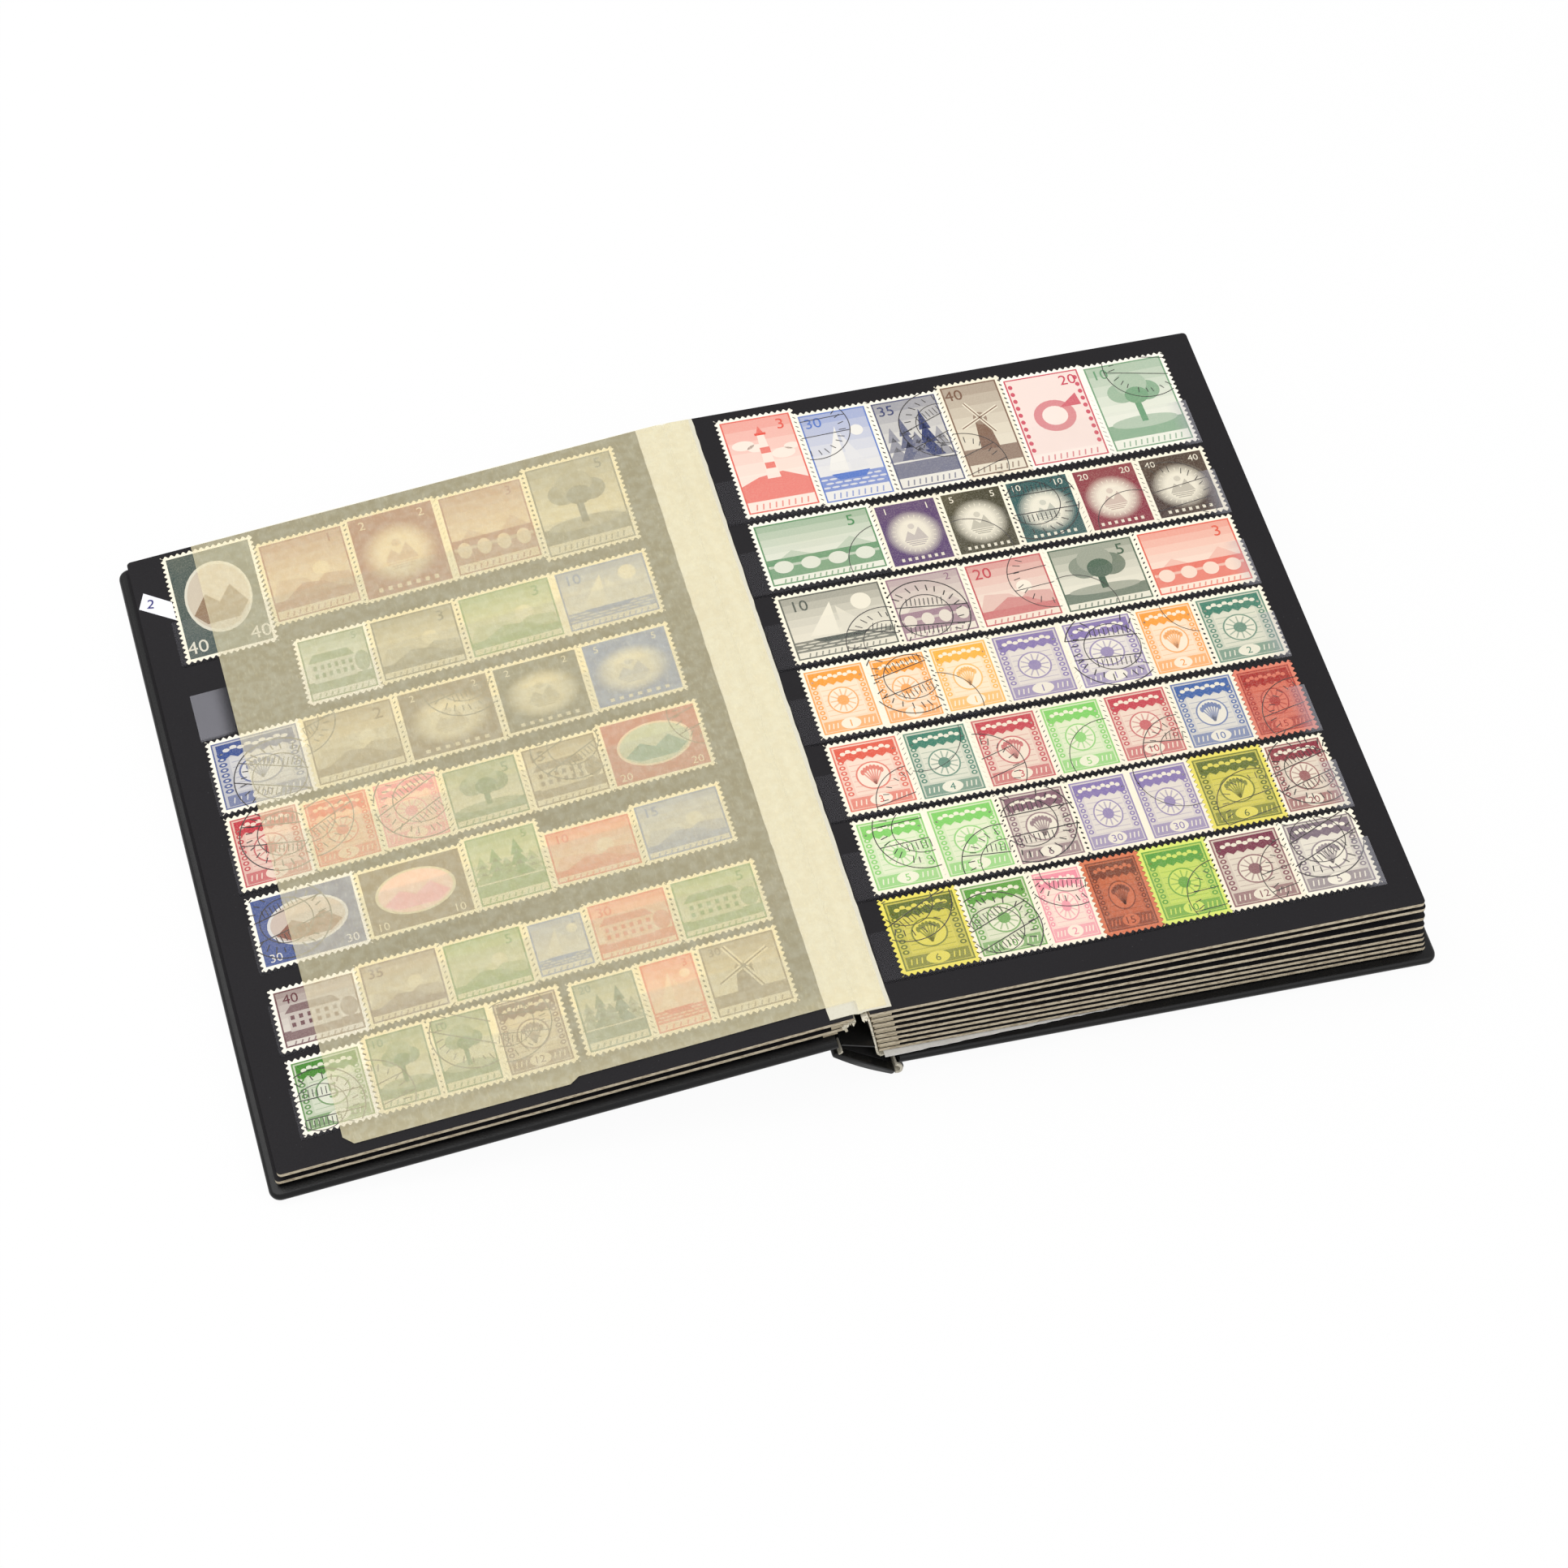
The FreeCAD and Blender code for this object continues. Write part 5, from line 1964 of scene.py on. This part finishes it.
@dataclass
class EndpaperEdge:
    """The pale edge of the endpaper that shows under the leaves at the tail."""

    palette: Palette
    leaf: Leaf = BACK_COVER
    inner: float = 8.2
    run: float = 82.0
    start: float = 206.0
    reach: float = 209.0
    bulge: float = 2.9
    uneven: float = 0.12
    seat: float = 0.22
    lift: float = 0.25
    thick: float = 0.2

    def build(self) -> None:
        """Make a thin tapering sheet on the back cover."""
        dice = random.Random(5)
        maker = MeshMaker()
        grid = []
        count = 40
        for i in range(count + 1):
            k = i / count
            across = self.inner + self.run * k
            foot = self.reach + self.bulge * (1.0 - k) ** 0.8 + dice.uniform(-self.uneven, self.uneven)
            lift = self.lift + self.lift * (1.0 - k)
            grid.append([self.leaf.at(across, self.start, self.seat + lift * 0.5),
                         self.leaf.at(across, foot, self.seat + lift)])
        maker.slab(grid, Vector((0.0, 0.0, -self.thick * MM)))
        piece = maker.build("endpaper_edge", self.palette.white)
        outward(piece.data)
        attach(piece, "back_cover")
        LOG.info("%s: made", piece.name)


@dataclass
class SlipFigure:
    """The figure written on the small paper slip."""

    palette: Palette
    figures: Numerals
    leaf: Leaf = LEFT_LEAF
    middle: Point = (152.1, 16.6)
    rise: float = 0.2
    size: float = 3.1
    lean: float = -14.0

    def build(self) -> None:
        """Write a plain 2 across the slip."""
        turn = math.radians(self.lean)
        maker = MeshMaker()

        def place(co: Vector) -> Vector:
            """Put a point of the figure on the slip."""
            x = (co.x * math.cos(turn) - co.y * math.sin(turn)) * self.size
            y = (co.x * math.sin(turn) + co.y * math.cos(turn)) * self.size
            return self.leaf.at(self.middle[0] - x, self.middle[1] - y, self.rise)

        maker.mesh(self.figures.get("2"), place)
        piece = maker.build("slip_figure", self.palette.writing)
        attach(piece, "leaf_02")
        LOG.info("%s: made", piece.name)


@dataclass
class CadFinishes:
    """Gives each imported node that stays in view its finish."""

    palette: Palette

    def build(self) -> None:
        """Assign the materials by node name."""
        p = self.palette
        by_start = {"leaf_": p.card, "guard_": p.guard, "strips_": p.film, "front_pastedown": p.white,
                    "back_pastedown": p.white, "spine_lining": p.cloth, "paper_slip": p.slip}
        for name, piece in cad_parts.items():
            for start, material in by_start.items():
                if name.startswith(start):
                    piece.data.materials.clear()
                    piece.data.materials.append(material)
        LOG.info("finishes on %d nodes", len(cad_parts))


@dataclass
class Studio:
    """Floor, light and the camera at the photograph's viewing angle."""

    eye: tuple[float, float, float] = (-253.4847, -775.123, 1096.7028)
    azimuth: float = -18.5499
    elevation: float = 53.5631
    roll: float = 4.1039
    focal: float = 6019.9651
    frame_px: float = 1932.0
    sensor: float = 36.0
    light: float = 0.86
    ambient: float = 0.70
    floor_half: float = 6.0
    floor_z: float = -0.0004
    floor_grey: float = 0.86
    floor_glow: float = 0.95

    def build(self) -> None:
        """Make the stage, the lamps and the camera."""
        self._floor()
        self._world()
        self._lamp("key_lamp", Vector((-0.55, 0.35, 1.25)), 1.1, 11.0 * self.light)
        self._lamp("fill_lamp", Vector((0.7, -0.8, 1.0)), 1.2, 5.0 * self.light)
        self._camera()
        bpy.context.scene.view_settings.view_transform = "Standard"

    @staticmethod
    def _seen(tree: bpy.types.NodeTree) -> Value:
        """Return 1 for rays that look at a surface, straight, in a reflection or through a film."""
        path = add_node(tree, "ShaderNodeLightPath", {}, {})
        rays = [Value(tree, path.outputs[f"Is {kind} Ray"]) for kind in ("Camera", "Glossy", "Transmission")]
        return (rays[0] + rays[1] + rays[2]).at_most(1.0)

    def _floor(self) -> None:
        """Lay a wide pale floor that keeps a faint shadow."""
        mesh = bpy.data.meshes.new("floor")
        r, z = self.floor_half, self.floor_z
        mesh.from_pydata([(-r, -r, z), (r, -r, z), (r, r, z), (-r, r, z)], [], [(0, 1, 2, 3)])
        floor = link("floor", mesh)
        s = Shade("pale_floor")
        glow = s.node("ShaderNodeEmission", {}, Color=PLAIN, Strength=1.0)
        s.finish(Base_Color=(self.floor_grey,) * 3, Roughness=0.9, Specular_IOR_Level=0.1)
        share = self._seen(s.tree) * self.floor_glow
        both = add_node(s.tree, "ShaderNodeMixShader", {},
                        {0: share, 1: s.shader.outputs[0], 2: glow.outputs[0]})
        feed(s.tree, s.tree.nodes["Material Output"].inputs[0], both.outputs[0])
        mesh.materials.append(s.material)

    def _world(self) -> None:
        """Light the scene evenly, with a white backdrop behind it."""
        world = bpy.data.worlds.new("studio")
        world.use_nodes = True
        tree = world.node_tree
        back = tree.nodes["Background"]
        feed(tree, back.inputs["Strength"], self._seen(tree) * (1.0 - self.ambient) + self.ambient)
        feed(tree, back.inputs["Color"], PLAIN)
        bpy.context.scene.world = world

    def _lamp(self, name: str, place: Vector, size: float, power: float) -> None:
        """Hang a square soft lamp that points at the album.

        Args:
            name: the lamp's name.
            place: where it hangs, in metres.
            size: its side length.
            power: its power in watts.
        """
        data = bpy.data.lights.new(name, "AREA")
        data.size = size
        data.energy = power
        lamp = bpy.data.objects.new(name, data)
        lamp.location = place
        lamp.rotation_euler = (-place).to_track_quat("-Z", "Y").to_euler()
        bpy.context.scene.collection.objects.link(lamp)

    def _camera(self) -> None:
        """Place the camera."""
        data = bpy.data.cameras.new("camera")
        data.sensor_width = self.sensor
        data.sensor_fit = "HORIZONTAL"
        data.lens = self.focal / self.frame_px * self.sensor
        data.clip_end = 50.0
        a, e, r = (math.radians(v) for v in (self.azimuth, self.elevation, self.roll))
        back = Vector((math.sin(a) * math.cos(e), -math.cos(a) * math.cos(e), math.sin(e)))
        flat = Vector((math.cos(a), math.sin(a), 0.0))
        rise = back.cross(flat)
        right = flat * math.cos(r) + rise * math.sin(r)
        up = rise * math.cos(r) - flat * math.sin(r)
        turn = Matrix((right, up, back)).transposed().to_4x4()
        camera = bpy.data.objects.new("camera", data)
        camera.matrix_world = Matrix.Translation(Vector(self.eye) * MM) @ turn
        bpy.context.scene.collection.objects.link(camera)
        bpy.context.scene.camera = camera


def main() -> None:
    """Build every piece in order and report it."""
    logging.basicConfig(level=logging.INFO, format="%(name)s: %(message)s")
    palette = Palette()
    Studio().build()
    CadFinishes(palette).build()
    rows = StampRows(palette)
    rows.build(RIGHT_LEAF, RIGHT_ROWS, "leaf_03", "right", PrintLook(depth=0.08, heavy=0.12))
    rows.build(LEFT_LEAF, LEFT_ROWS, "leaf_02", "left", PrintLook(depth=0.24, heavy=0.5))
    rows.paper.put_away()
    InterleafSheet(palette).build()
    GutterTape(palette).build()
    Cover(palette, BACK_COVER, "back_cover", inner=11.9).build()
    Cover(palette, FRONT_COVER, "front_cover", inner=7.3).build()
    SpineCase(palette).build()
    MullLining(palette).build()
    EndpaperEdge(palette).build()
    SlipFigure(palette, rows.figures).build()


if __name__ == "__main__":
    main()
